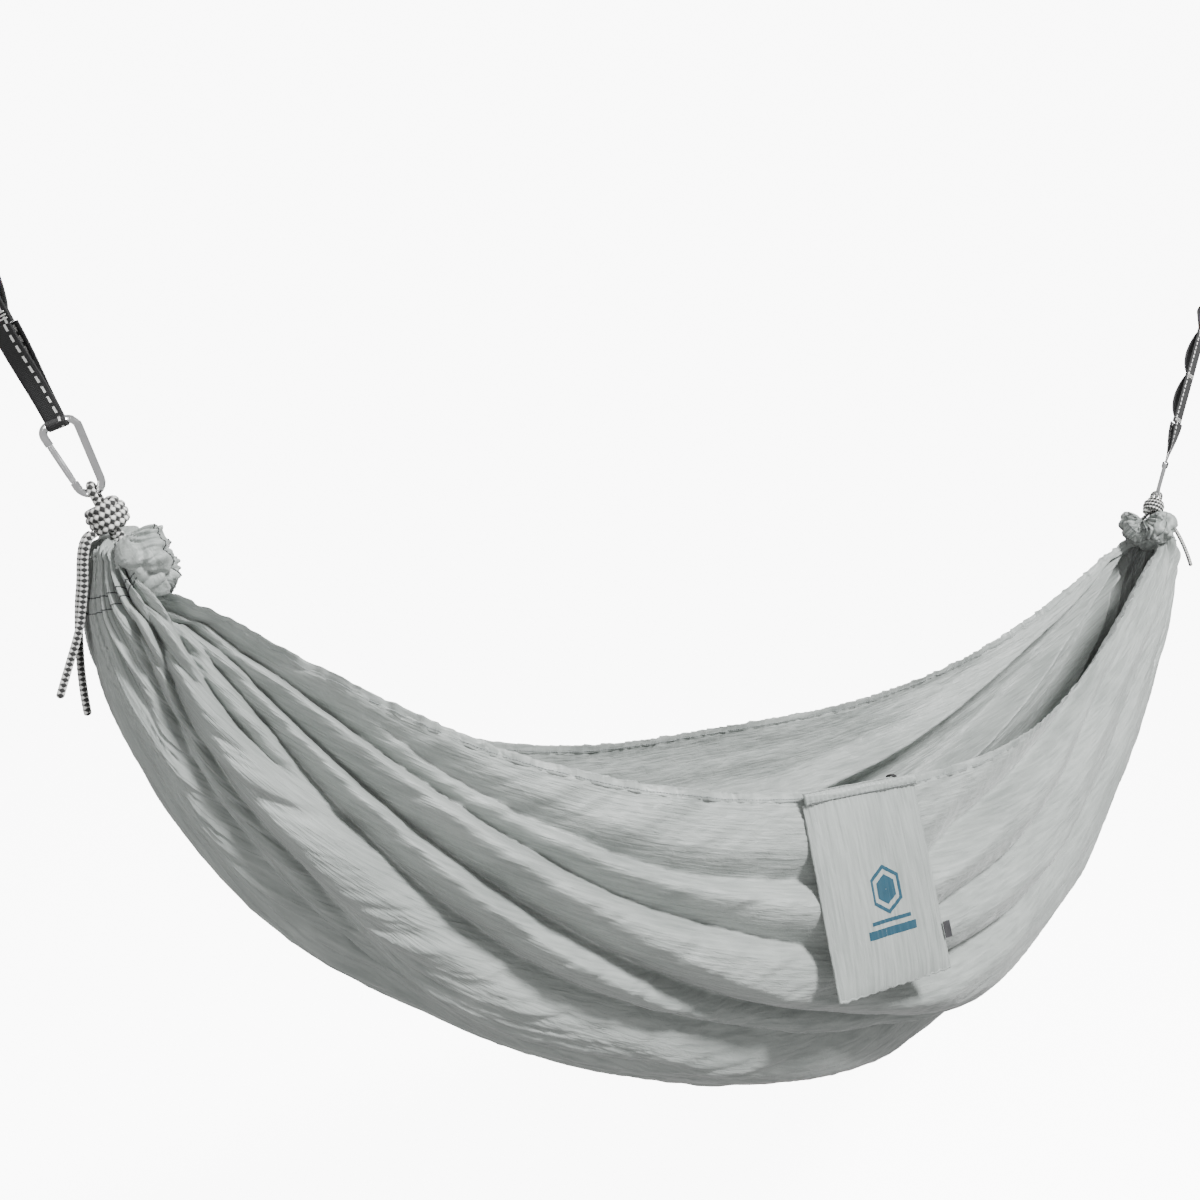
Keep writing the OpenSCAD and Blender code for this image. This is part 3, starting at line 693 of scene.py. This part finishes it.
def cuff(side, edge, seed):
    """Rows of cloth that roll up and over into the gather's throat, scrunched into ruffles."""
    centre, throat = on_line(side, [0.0, 0.0, 0.0]), on_line(side, [0.004, 0.0, 0.006])
    up = unit(on_line(side, [0.0, 0.0, 1.0]) - centre)
    out = edge - centre
    out = unit(out - (out @ up)[:, None] * up)
    share = np.linspace(0, 1, len(edge))
    rows = []
    for k in range(1, CUFF_ROWS + 1):
        f = k / CUFF_ROWS
        wave = np.cos(2 * np.pi * CUFF_RUFFLES * share + 3 * noise(share * 7, 1.5 * f, seed))
        roll = CUFF_ROLL * (1 + 0.45 * (1 - 2 * np.abs(wave)) + 0.5 * noise(share * 11, 2.0 * f, seed + 1))
        angle = 1.25 * math.pi * f
        row = edge + up * (1.7 * roll * math.sin(angle))[:, None]
        row = row - out * (1.3 * roll * (1 - math.cos(angle)))[:, None]
        pull = 0.5 * smooth((f - 0.5) / 0.5)
        rows.append(row * (1 - pull) + throat * pull)
    return np.array(rows)


def hammock_cloth():
    points, uv, normal = hammock_surface()
    rows = np.concatenate([cuff("left", points[0], 61)[::-1], points, cuff("right", points[-1], 63)])
    step = CUFF_STEP * np.arange(1, CUFF_ROWS + 1)[:, None, None] * (1, 0)
    uv = np.concatenate([(uv[0] - step)[::-1], uv, uv[-1] + step])
    return dress(grid_mesh("hammock_cloth", rows, NYLON, "hammock", uv=uv), "hammock_body"), points, normal


HEM_W = 0.014
HEM_T = 0.0024
STITCH = 0.0045
THICK_THREAD = 0.0006


def stitches(name, line, up, material, body, pitch=STITCH, r=0.0004):
    """A row of thread stitches along a line, standing a little out of the cloth along up."""
    line_even = even(line, pitch / 6)
    normals = sampled(up, length_along(line), length_along(line_even))
    _, a, b = frames_along(line_even, (0.1, 0.3, 1))
    rings = []
    for start in range(0, len(line_even) - 6, 6):
        for k in range(6):
            i = start + k
            high = math.sin(math.pi * (k + 0.3) / 5.6)
            rings.append([line_even[i] + normals[i] * r * (2.2 * high - 0.9)
                          + r * (math.cos(q) * a[i] + math.sin(q) * b[i]) for q in (0.8, 2.4, 3.9, 5.5)])
    tube(name, np.array(rings), material, body)


def edge_hem(which, points, normal):
    """A rolled, puckered hem over the cloth's edge, with a row of stitches on each face."""
    column = 0 if which == "front" else -1
    inner = 5 if which == "front" else -6
    keep = slice(6, -6)
    edge, out = points[keep, column], normal[keep, column]
    inwards = unit(points[keep, inner] - edge)
    along = length_along(edge)
    pucker = noise(along / 0.009, 2.0, 21 + column)
    width = HEM_W * (1 + 0.10 * noise(along / 0.02, 5.0, 22))
    thick = HEM_T * (1 + 0.35 * pucker)
    centre = edge + inwards * 0.002 + out * (0.0012 * pucker)[:, None]
    rings = []
    for q in np.linspace(0, 2 * np.pi, 16, endpoint=False):
        flat = np.sign(math.cos(q)) * abs(math.cos(q)) ** 0.8
        rings.append(centre + inwards * (flat * width / 2)[:, None] + out * (math.sin(q) * thick / 2)[:, None])
    rings = np.stack(rings, 1)
    turn = np.linspace(0, 2 * HEM_W, 17)[None, :]
    uv = joint(along[:, None], turn)
    hem = dress(tube(which + "_hem_roll", rings, NYLON, "hammock", uv), which + "_edge_hem")
    for face in (-1, 1):
        name = f"{which}_hem_stitches_{'outer' if face > 0 else 'inner'}"
        row = centre + inwards * 0.0028 + out * (face * (thick / 2 * 0.86 + 0.0002))[:, None]
        stitches(name, row, face * out, THREAD_GREY, "hammock")
    return hem


hammock, cloth_points, cloth_normal = hammock_cloth()
hems = [edge_hem("front", cloth_points, cloth_normal), edge_hem("back", cloth_points, cloth_normal)]


# ---- gathered ends ----

CHANNEL_R = 0.0240
CHANNEL_HALF_ARC = 128
RUFFLES = 7
# Heights of the bunch's ruffles, cross folds, lumps and fine creases
RUFFLE_H, CROSS_H, LUMP_H, CREASE_H = 0.0052, 0.0018, 0.0040, 0.0030
# Where the stitch lines run, as shares of a turn about the sleeve
CHANNEL_STITCHES = (0.12, 0.24)
FLOP = 0.006
LIFT = 0.005


def end_channel(side):
    """The sewn sleeve at a gathered end, bunched into ruffles on the rope."""
    seed = 31 if side == "left" else 32
    a = np.linspace(-CHANNEL_HALF_ARC, CHANNEL_HALF_ARC, 330)[:, None]
    q = np.linspace(0, 2 * np.pi, 73)[None, :]
    run = (a + CHANNEL_HALF_ARC) / (2 * CHANNEL_HALF_ARC)
    drift = 3.2 * noise(run * 6, 1.6 * np.sin(q) + 4, seed) + 1.3 * np.cos(q + 7 * run)
    wave = np.cos(2 * np.pi * RUFFLES * run + 2.2 * drift)
    fold = 2 * np.abs(wave) ** 0.7 - 1
    crossing = 2 * np.abs(np.sin(2 * q + 9 * run + 3 * noise(run * 9, np.cos(q) + 5, seed + 3))) - 1
    lump = noise(run * 7, np.sin(q) * 1.3 + 9, seed + 5) + 0.6 * noise(run * 16, np.cos(q) * 3 + 9, seed + 7)
    strength = 0.65 + 0.55 * noise(run * 8, np.sin(q) + 7, seed + 11)
    crease = np.abs(noise(run * 24 + 1.6 * np.sin(q + 9 * run), 0.8 * np.cos(q) + 9, seed + 13)) ** 0.5
    r = CHANNEL_R + RUFFLE_H * fold * strength + CROSS_H * crossing + LUMP_H * lump + CREASE_H * crease
    r = r * np.sqrt(np.clip(np.minimum(run, 1 - run) / 0.05, 0.08, 1))
    lean = 0.0035 * noise(run * 12, 3.0, seed + 9)
    angle = np.radians(a)
    ring = RING_R + 0.002 + r * np.cos(q) + lean
    points = joint(FLOP + r * np.sin(q), ring * np.sin(angle), RING_AT + LIFT - ring * np.cos(angle))
    uv = joint(1.1 * run, 0.02 * q)
    name = side + "_end_channel"
    dress(tube(name + "_ruffles", on_line(side, points)[:, :-1], NYLON, "hammock", uv), name)
    core = joint(FLOP, RING_R * np.sin(angle), RING_AT + LIFT - RING_R * np.cos(angle))
    for k, at in enumerate(CHANNEL_STITCHES):
        row = on_line(side, points)[14:-14, int(at * 72)]
        up = unit(row - on_line(side, core)[14:-14, 0])
        stitches(f"{side}_channel_stitches_{k + 1}", row + 0.0002 * up, up, THREAD_DARK, "hammock", r=THICK_THREAD)


def gather_stitches(side):
    """Two rows of stitches across the pleats, just under the gather."""
    end, step = (0, 1) if side == "left" else (-1, -1)
    for k, row in enumerate(STITCH_ROWS):
        i = end + step * row
        line, out = cloth_points[i, 3:-3], cloth_normal[i, 3:-3]
        stitches(f"{side}_gather_stitches_{k + 1}", line + THICK_THREAD * out, out, THREAD_DARK, "hammock",
                 r=THICK_THREAD)


WRAPS = 4
WRAP_RADII = (0.0155, 0.017, 0.0165, 0.0135)
RING_HALF_ARC = 145


def rope_ring(side):
    angles = np.radians(np.linspace(-RING_HALF_ARC, RING_HALF_ARC, 21))
    arc = [(0, RING_R * math.sin(a), RING_AT - RING_R * math.cos(a)) for a in angles]
    line = through(on_line(side, [(0, -0.008, KNOT[0] + 0.002)] + arc + [(0, 0.008, KNOT[0] + 0.002)]))
    return rope(side + "_rope_ring_braid", line)


def rope_knot(side):
    """Four wraps of rope climbing round the two legs, with a turn tucked under at each end."""
    low, high = KNOT[0] + 0.0043, KNOT[1] - 0.0043
    points = [(0.004, -0.004, low + 0.004), (0.010, -0.006, low)]
    count = WRAPS * 24
    for k in range(count + 1):
        f = k / count
        a = 2 * math.pi * WRAPS * f - 0.6
        r = np.interp(f * WRAPS, (0.3, 1, 2, 3, 3.8), (WRAP_RADII[0] - 0.001, *WRAP_RADII[:3], WRAP_RADII[3]))
        r = r + 0.0004 * math.sin(3 * a)
        points.append((r * math.cos(a), r * math.sin(a), low + (high - low) * f))
    points += [(0.008, -0.006, high), (0.003, -0.003, high - 0.004)]
    line = through(on_line(side, points, CARABINER_TURN))
    return rope(side + "_rope_knot_braid", line, ROPE_R + 0.0003)


def rope_bight(side):
    r = ROPE_R + BAR_R + 0.0005
    arc = [(r * math.cos(a), 0, BAR_LOW + r * math.sin(a)) for a in np.linspace(0, math.pi, 17)]
    legs = [(r, 0, KNOT[1] - 0.004), (r, 0, KNOT[1] + 0.003)]
    points = legs + arc + [(-x, y, z) for x, y, z in legs[::-1]]
    line = through(on_line(side, points, CARABINER_TURN))
    return rope(side + "_rope_bight_braid", line, hint=(0.2, 1, 0.1))


for side in ("left", "right"):
    end_channel(side)
    gather_stitches(side)
    for part, make in (("ring", rope_ring), ("knot", rope_knot), ("bight", rope_bight)):
        dress(make(side), f"{side}_rope_{part}")


# ---- straps ----

def band(name, middle, across, out, half_w, material, body, thick=WEBBING_T):
    """Webbing along a line: across is its width's direction and out its face's, one of each, or one per point."""
    along = length_along(middle)
    rib = thick / 2 * (0.90 + 0.10 * np.abs(np.sin(np.pi * along / 0.0016)))
    profile = [(-0.94, 1), (-0.6, 1), (-0.2, 1), (0.2, 1), (0.6, 1), (0.94, 1), (1.0, 0.5), (1.0, -0.5),
               (0.94, -1), (0.6, -1), (0.2, -1), (-0.2, -1), (-0.6, -1), (-0.94, -1), (-1.0, -0.5), (-1.0, 0.5)]
    half_w = np.broadcast_to(half_w, len(middle))
    rings = np.stack([middle + across * (w * half_w)[:, None] + out * (h * rib)[:, None] for w, h in profile], 1)
    place = np.array([w for w, _ in profile] + [profile[0][0]])[None, :] / 2 + 0.5
    uv = joint(place, along[:, None])
    return tube(name, rings, material, body, uv)


def strap_band(name, side, profile, width, material, turns=None):
    """A band whose side profile is [height, distance] up a line, across the strap's y."""
    p = even(np.array([(h, 0, d) for h, d in profile], float), 0.0004)
    tangent = unit(np.gradient(p, axis=0))
    out = joint(tangent[:, 2], 0.0, -tangent[:, 0])
    across = np.tile([0.0, 1.0, 0.0], (len(p), 1))
    width = width(p[:, 2]) if callable(width) else width
    turn = STRAP_TURN[side]
    if turns is not None:
        a = turns(p[:, 2])[:, None]
        p, out, across = [np.concatenate([q[:, :1] * np.cos(a) - q[:, 1:2] * np.sin(a),
                                          q[:, :1] * np.sin(a) + q[:, 1:2] * np.cos(a), q[:, 2:]], 1)
                          for q in (p, out, across)]
    origin = on_line(side, [0, 0, 0], turn)
    p, out, across = [on_line(side, q, turn) for q in (p, out, across)]
    return band(name, p, across - origin, out - origin, width / 2, material, "straps")


TACK_FLAT = 0.008
NECK_FROM = LAST_TACK + TACK_FLAT
END_LOOP_R = BAR_R + 0.0004 + WEBBING_T / 2
END_LOOP_TOP = FIRST_TACK - TACK_FLAT


def daisy_profile():
    points = [(WEBBING_T / 2, FIRST_TACK - TACK_FLAT)]
    for start in (FIRST_TACK, FIRST_TACK + TACK_PITCH):
        for f in np.linspace(0, 1, 31):
            points.append((WEBBING_T / 2 + LOOP_H * max(0, math.sin(math.pi * f)) ** 0.8,
                           start + TACK_FLAT / 2 + f * (TACK_PITCH - TACK_FLAT)))
    return points + [(WEBBING_T / 2, NECK_FROM)]


def end_loop_profile():
    """Down one leg, round the carabiner's bar and up the other."""
    def leg(k, share):
        spread = smooth(1.15 * share)
        return (k * (WEBBING_T / 2 + (END_LOOP_R - WEBBING_T / 2) * spread),
                BAR_TOP + (END_LOOP_TOP - BAR_TOP) * share)

    down = [leg(-1, 1 - f) for f in np.linspace(0, 1, 30)[:-1]]
    bend = [(-END_LOOP_R * math.cos(a), BAR_TOP - END_LOOP_R * math.sin(a)) for a in np.linspace(0, math.pi, 24)]
    up = [leg(1, f) for f in np.linspace(0, 1, 30)[1:]]
    return down + bend + up


def end_loop_share(z):
    """0 at the loop's sewn end, 1 by the carabiner's bar."""
    return smooth((END_LOOP_TOP - z) / (END_LOOP_TOP - BAR_TOP - 0.006))


def end_loop_turn(side):
    whole = math.radians(CARABINER_TURN - STRAP_TURN[side])
    return lambda z: -whole * end_loop_share(z)


def end_loop_width(z):
    return WEBBING_W - 0.005 * end_loop_share(z)


def tree_eye_profile():
    """Up from the last tack, round the eye and back down to it."""
    r = EYE_R + WEBBING_T / 2
    ring = [(r * math.sin(a), EYE_AT - r * math.cos(a)) for a in np.radians(np.linspace(66, 294, 60))]
    return [(WEBBING_T / 2, NECK_FROM)] + ring + [(-WEBBING_T / 2, NECK_FROM)]


def tack_threads(side):
    """Three zigzag lines of thread across both faces at each tack."""
    made = []
    for at in (FIRST_TACK, FIRST_TACK + TACK_PITCH, LAST_TACK):
        for k in (-1, 0, 1):
            for face in (-WEBBING_T - 0.0003, WEBBING_T + 0.0003):
                zigzag = [(face, -0.0095 + 0.019 * i / 40, at + k * 0.0032 + 0.0007 * (-1) ** i) for i in range(41)]
                line = on_line(side, even(np.array(zigzag), 0.0006), STRAP_TURN[side])
                rings, _ = rope_rings(line, 0.00042, 0.0, sides=6, hint=(0.3, 0.2, 1))
                made.append(tube(f"tack_{len(made)}", rings, THREAD_WHITE, "straps"))
    piece = joined(made)
    piece.name = side + "_bar_tack_threads"
    return piece


def straps(side):
    base = strap_band(side + "_base_strap", side, [(-WEBBING_T / 2, END_LOOP_TOP), (-WEBBING_T / 2, NECK_FROM)],
                      WEBBING_W, WEBBING_TRACED)
    loops = strap_band(side + "_loop_strap", side, daisy_profile(), WEBBING_W, WEBBING)
    end = strap_band(side + "_end_strap", side, end_loop_profile(), end_loop_width, WEBBING_TRACED,
                     end_loop_turn(side))
    eye = strap_band(side + "_eye_strap", side, tree_eye_profile(), WEBBING_W, WEBBING)
    threads = tack_threads(side)
    for piece, node in ((base, "base_webbing"), (loops, "daisy_loops"), (end, "end_loop"), (eye, "tree_eye")):
        dress(piece, f"{side}_{node}")
    dress(threads, side + "_bar_tacks")


for side in ("left", "right"):
    straps(side)
    coat(STEEL, side + "_carabiner_body")
    coat(GATE_STEEL, *[f"{side}_gate_{part}" for part in ("rivet", "arm", "pin", "plunger", "spring")])


# ---- pouch ----

POUCH_W = 0.210
POUCH_H = 0.250
POUCH_T = 0.016
TUNNEL_H = 0.014
TAPE_LEN = 0.165
TAPE_H = 0.010
TAPE_T = 0.0034
LABEL_W = 0.012
LABEL_H = 0.022
LABEL_T = 0.001
LABEL_AT = 0.8
# The print's centre as shares across and down the front panel, and its thickness
PRINT_AT = (0.02, 0.53)
PRINT_T = 0.00022
POUCH_HINGE = MIDDLE + (-0.170, -0.220, -0.323)
POUCH_TURN = math.radians(-4.5)
POUCH_LEAN = math.radians(-16.5)


def at_pouch(points):
    """Points given with x across the pouch, z up its panels and y to the back, from its hinge."""
    p = np.asarray(points, float)
    y = p[..., 1] * math.cos(POUCH_LEAN) - p[..., 2] * math.sin(POUCH_LEAN)
    z = p[..., 1] * math.sin(POUCH_LEAN) + p[..., 2] * math.cos(POUCH_LEAN)
    x = p[..., 0]
    c, s = math.cos(POUCH_TURN), math.sin(POUCH_TURN)
    return POUCH_HINGE + joint(x * c - y * s, x * s + y * c, z)


POUCH_UP = at_pouch([0, 0, 1]) - at_pouch([0, 0, 0])
POUCH_OUT = at_pouch([0, -1, 0]) - at_pouch([0, 0, 0])


def ruche(x):
    """The small gathers where the tunnel is sewn to the panels."""
    return np.cos(2 * np.pi * x / 0.009 + 2 * noise(x / 0.03 + 9, 0.0, 44))


def scallop(x, bottom):
    return 0.0007 * np.cos(2 * np.pi * x / 0.017 + noise(x / 0.05 + 9, 0.0, 45)) * bottom


def panel_place(a, b, seed):
    """x, z, nearness to the bottom and long wrinkles; a runs across a panel, -1 to 1, and b down it, 0 to 1."""
    x, z = a * POUCH_W / 2, -TUNNEL_H - b * POUCH_H
    bottom = np.exp(-(1 - b) * POUCH_H / 0.012)
    return x, z, bottom, 1 - 2 * np.abs(noise(x / 0.0085 + 20, z / 0.10 + 20, seed))


def pouch_face(a, b, lift=0.0):
    """The front panel's surface."""
    x, z, bottom, long = panel_place(a, b, 41)
    belly = (1 - np.abs(a) ** 4) * (0.35 + 0.65 * np.sin(np.pi * np.clip(b * 0.9 + 0.08, 0, 1)))
    edge = np.exp(-(1 - np.abs(a)) * POUCH_W / 2 / 0.004)
    depth = 0.0035 + 0.0095 * belly
    fold = 0.0016 * smooth((a - 0.80) / 0.05) - 0.0012 * np.exp(-((a - 0.80) / 0.012) ** 2)
    fine = 1 - 2 * np.abs(noise(x / 0.0042 + 20, z / 0.05 + 20, 42))
    broad = noise(x / 0.035 + 20, z / 0.16 + 20, 43)
    top = ruche(x) * np.exp(-b * POUCH_H / 0.018)
    relief = 0.0006 * long + 0.0003 * fine + 0.0016 * broad + 0.0008 * top + fold
    y = -(depth + relief + lift) * (1 - 0.75 * np.maximum(edge, 0.8 * bottom)) - 0.001
    return joint(x, y, z + scallop(x, bottom))


def pouch_back(a, b):
    x, z, bottom, long = panel_place(a, b, 46)
    return joint(x, -0.0007 - 0.0004 * (1 + long), z + scallop(x, bottom))


def pouch_panels():
    a, b = np.linspace(-1, 1, 190)[None, :], np.linspace(0, 1, 230)[:, None]
    uv = joint(b * POUCH_H, a * POUCH_W / 2)
    front = grid_mesh("pouch_front_cloth", at_pouch(pouch_face(a, b)), NYLON_POUCH, "pouch", uv=uv)
    back = grid_mesh("pouch_back_cloth", at_pouch(pouch_back(a, b)), NYLON_POUCH, "pouch", uv=uv)
    for piece, node in ((front, "pouch_front_panel"), (back, "pouch_back_panel")):
        dress(piece, node)


def pouch_seams():
    """The bound side and bottom edges, one rolled seam round three sides."""
    b = np.linspace(0, 1, 260)
    a = np.linspace(-1, 1, 200)
    left = pouch_face(np.full(260, -1.0), b)
    bottom = pouch_face(a, np.ones(200))
    right = pouch_face(np.full(260, 1.0), b[::-1])
    line = even(np.concatenate([left, bottom[1:-1], right]), 0.001)
    line[:, 1] = -0.0022
    along = length_along(line)[:, None]
    _, p, q = frames_along(line, (0, 1, 0))
    turn = np.linspace(0, 2 * np.pi, 15)[None, :]
    r = 0.0021 + 0.0004 * noise(along / 0.006, turn, 47)
    rings = line[:, None] + r[..., None] * (np.cos(turn)[..., None] * p[:, None]
                                            + 0.75 * np.sin(turn)[..., None] * q[:, None])
    uv = joint(along, 0.002 * turn)
    tube("pouch_edge_seam", at_pouch(rings[:, :-1]), NYLON_POUCH, "pouch", uv)


def pouch_tunnel():
    """The drawcord tunnel: a soft flat tube, ruched along its stitching."""
    x = np.linspace(-POUCH_W / 2 - 0.001, POUCH_W / 2 + 0.001, 260)
    loops = []
    for q in np.linspace(0, 2 * np.pi, 24, endpoint=False):
        high = 0.0072 + 0.0003 * ruche(x) * math.sin(q)
        thick = 0.0058 + 0.0008 * ruche(x) + 0.0008 * noise(x / 0.012 + 5, 3 * math.cos(q), 48)
        thick = thick * np.sqrt(np.clip((POUCH_W / 2 + 0.002 - np.abs(x)) / 0.008, 0.1, 1))
        y = -0.0078 + thick * math.cos(q)
        z = -TUNNEL_H / 2 + high * np.sign(math.sin(q)) * abs(math.sin(q)) ** 0.7
        loops.append(joint(x, y, z))
    rings = np.stack(loops, 1)
    uv = joint(x[:, None], np.linspace(0, 0.04, 25)[None, :])
    dress(tube("pouch_tunnel_cloth", at_pouch(rings), NYLON_POUCH, "pouch", uv), "pouch_tunnel")
    row = joint(x, -0.0126, -TUNNEL_H + 0.0022)[4:-4]
    stitches("pouch_tunnel_stitches", at_pouch(row), np.tile(POUCH_OUT, (len(row), 1)), THREAD_GREY, "pouch",
             pitch=0.004)


def pouch_print():
    """A plain printed mark: a hexagon ring round a solid hexagon, over two bars."""
    def hexagon(inner, outer):
        q = np.radians(np.linspace(0, 360, 73))
        edge = 1 / np.cos((q + np.pi / 6) % (np.pi / 3) - np.pi / 6)
        r = np.linspace(inner, outer, 12)[:, None]
        return r * edge * np.cos(q), r * edge * np.sin(q) + 0.006

    def bar(half_w, low, high):
        x = np.linspace(-half_w, half_w, 60)[None, :]
        return np.broadcast_arrays(x, np.linspace(low, high, 6)[:, None])
    made = []
    for k, (x, z) in enumerate((hexagon(0.0006, 0.017), hexagon(0.023, 0.028), bar(0.038, -0.036, -0.031),
                                bar(0.046, -0.053, -0.042))):
        points = pouch_face(PRINT_AT[0] + x / (POUCH_W / 2), PRINT_AT[1] - z / POUCH_H, lift=PRINT_T)
        made.append(grid_mesh(f"print_{k}", at_pouch(points), PRINT, "pouch"))
    piece = joined(made)
    piece.name = "pouch_print"


def hinge_tape():
    """The puckered tape that joins the pouch's top to the front hem."""
    x = np.linspace(-POUCH_W / 2 + 0.005, -POUCH_W / 2 + 0.005 + TAPE_LEN, 200)
    y = 0.0022 + 0.0003 * noise(x / 0.012 + 9, 3.0, 51)
    z = -0.004 + 0.0004 * noise(x / 0.015 + 9, 3.0, 52)
    c, s = math.cos(POUCH_TURN), math.sin(POUCH_TURN)
    middle = POUCH_HINGE + joint(x * c - y * s, x * s + y * c, z)
    piece = band("pouch_hinge_tape", middle, np.array([0.0, 0.0, 1.0]), np.array([-s, c, 0.0]), TAPE_H / 2,
                 NYLON, "hammock", thick=TAPE_T)
    dress(piece, "pouch_tape")


def side_label():
    """The blank woven label sewn in the pouch's right edge."""
    x = np.linspace(-0.002, LABEL_W, 40)
    y = -POUCH_T / 2 + 0.0005 + 0.0008 * np.sin(x / LABEL_W * 2.5)
    z = -TUNNEL_H - POUCH_H * LABEL_AT
    middle = at_pouch(joint(POUCH_W / 2 + x, y, z))
    piece = band("pouch_side_label", middle, POUCH_UP, POUCH_OUT, LABEL_H / 2, LABEL, "pouch", thick=LABEL_T)
    dress(piece, "pouch_label")


pouch_panels()
pouch_seams()
pouch_tunnel()
pouch_print()
hinge_tape()
side_label()
coat(PLASTIC, "cord_lock_body", "cord_lock_button")
coat(GATE_STEEL, "cord_lock_spring")
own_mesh(nodes["cord_lock_spring"])


# ---- floor and light ----

FLOOR_DROP = 0.45
BACKDROP_R = 14.0
BACKDROP_FLAT = 6.0
BACKDROP_GLOW = 9.0
SKY = 0.48
# Name, place from the middle, diameter and power
LIGHTS = [
    ("key", (0.6, -3.1, 3.4), 1.1, 570),
    ("fill", (-3.2, -2.2, 0.2), 0.8, 50),
    ("back", (1.8, 2.8, 3.2), 2.0, 90)
]


def backdrop():
    """A pale floor that sweeps up into a wall all round, seen by the camera and giving no light of its own."""
    centre = (cad_box[0] + cad_box[1]) / 2
    level = cad_box[0].z - FLOOR_DROP
    profile = [(r, 0.0) for r in (0.0, 2.0, 4.0, BACKDROP_FLAT)]
    bend = BACKDROP_R - BACKDROP_FLAT
    profile += [(BACKDROP_FLAT + bend * math.sin(a), bend * (1 - math.cos(a)))
                for a in np.linspace(0, math.pi / 2, 24)[1:]]
    profile += [(BACKDROP_R, bend + 4.0), (BACKDROP_R, bend + 12.0)]
    turn = np.linspace(0, 2 * np.pi, 96, endpoint=False)
    rings = np.array([[(centre.x + r * math.cos(q), centre.y + r * math.sin(q), level + z) for q in turn]
                      for r, z in profile])
    pale = Shader("pale_backdrop", Base_Color=(0.80, 0.80, 0.80, 1), Roughness=0.95, Specular_IOR_Level=0.0,
                  Emission_Color=(1, 1, 1, 1), Emission_Strength=BACKDROP_GLOW)
    return grid_mesh("backdrop", rings, pale.material, None, wrap=True)


def studio():
    floor = backdrop()
    for ray in ("diffuse", "glossy", "transmission", "shadow"):
        setattr(floor, "visible_" + ray, False)
    world = bpy.data.worlds.new("studio")
    world.use_nodes = True
    world.node_tree.nodes["Background"].inputs["Color"].default_value = (1, 1, 1, 1)
    world.node_tree.nodes["Background"].inputs["Strength"].default_value = SKY
    bpy.context.scene.world = world
    centre = (cad_box[0] + cad_box[1]) / 2
    for name, offset, size, power in LIGHTS:
        light = bpy.data.objects.new(name, bpy.data.lights.new(name, "AREA"))
        light.data.shape = "DISK"
        light.data.size = size
        light.data.energy = power
        light.location = centre + Vector(offset)
        light.rotation_euler = Vector(offset).to_track_quat("Z", "Y").to_euler()
        bpy.context.scene.collection.objects.link(light)


studio()

bpy.context.view_layer.update()
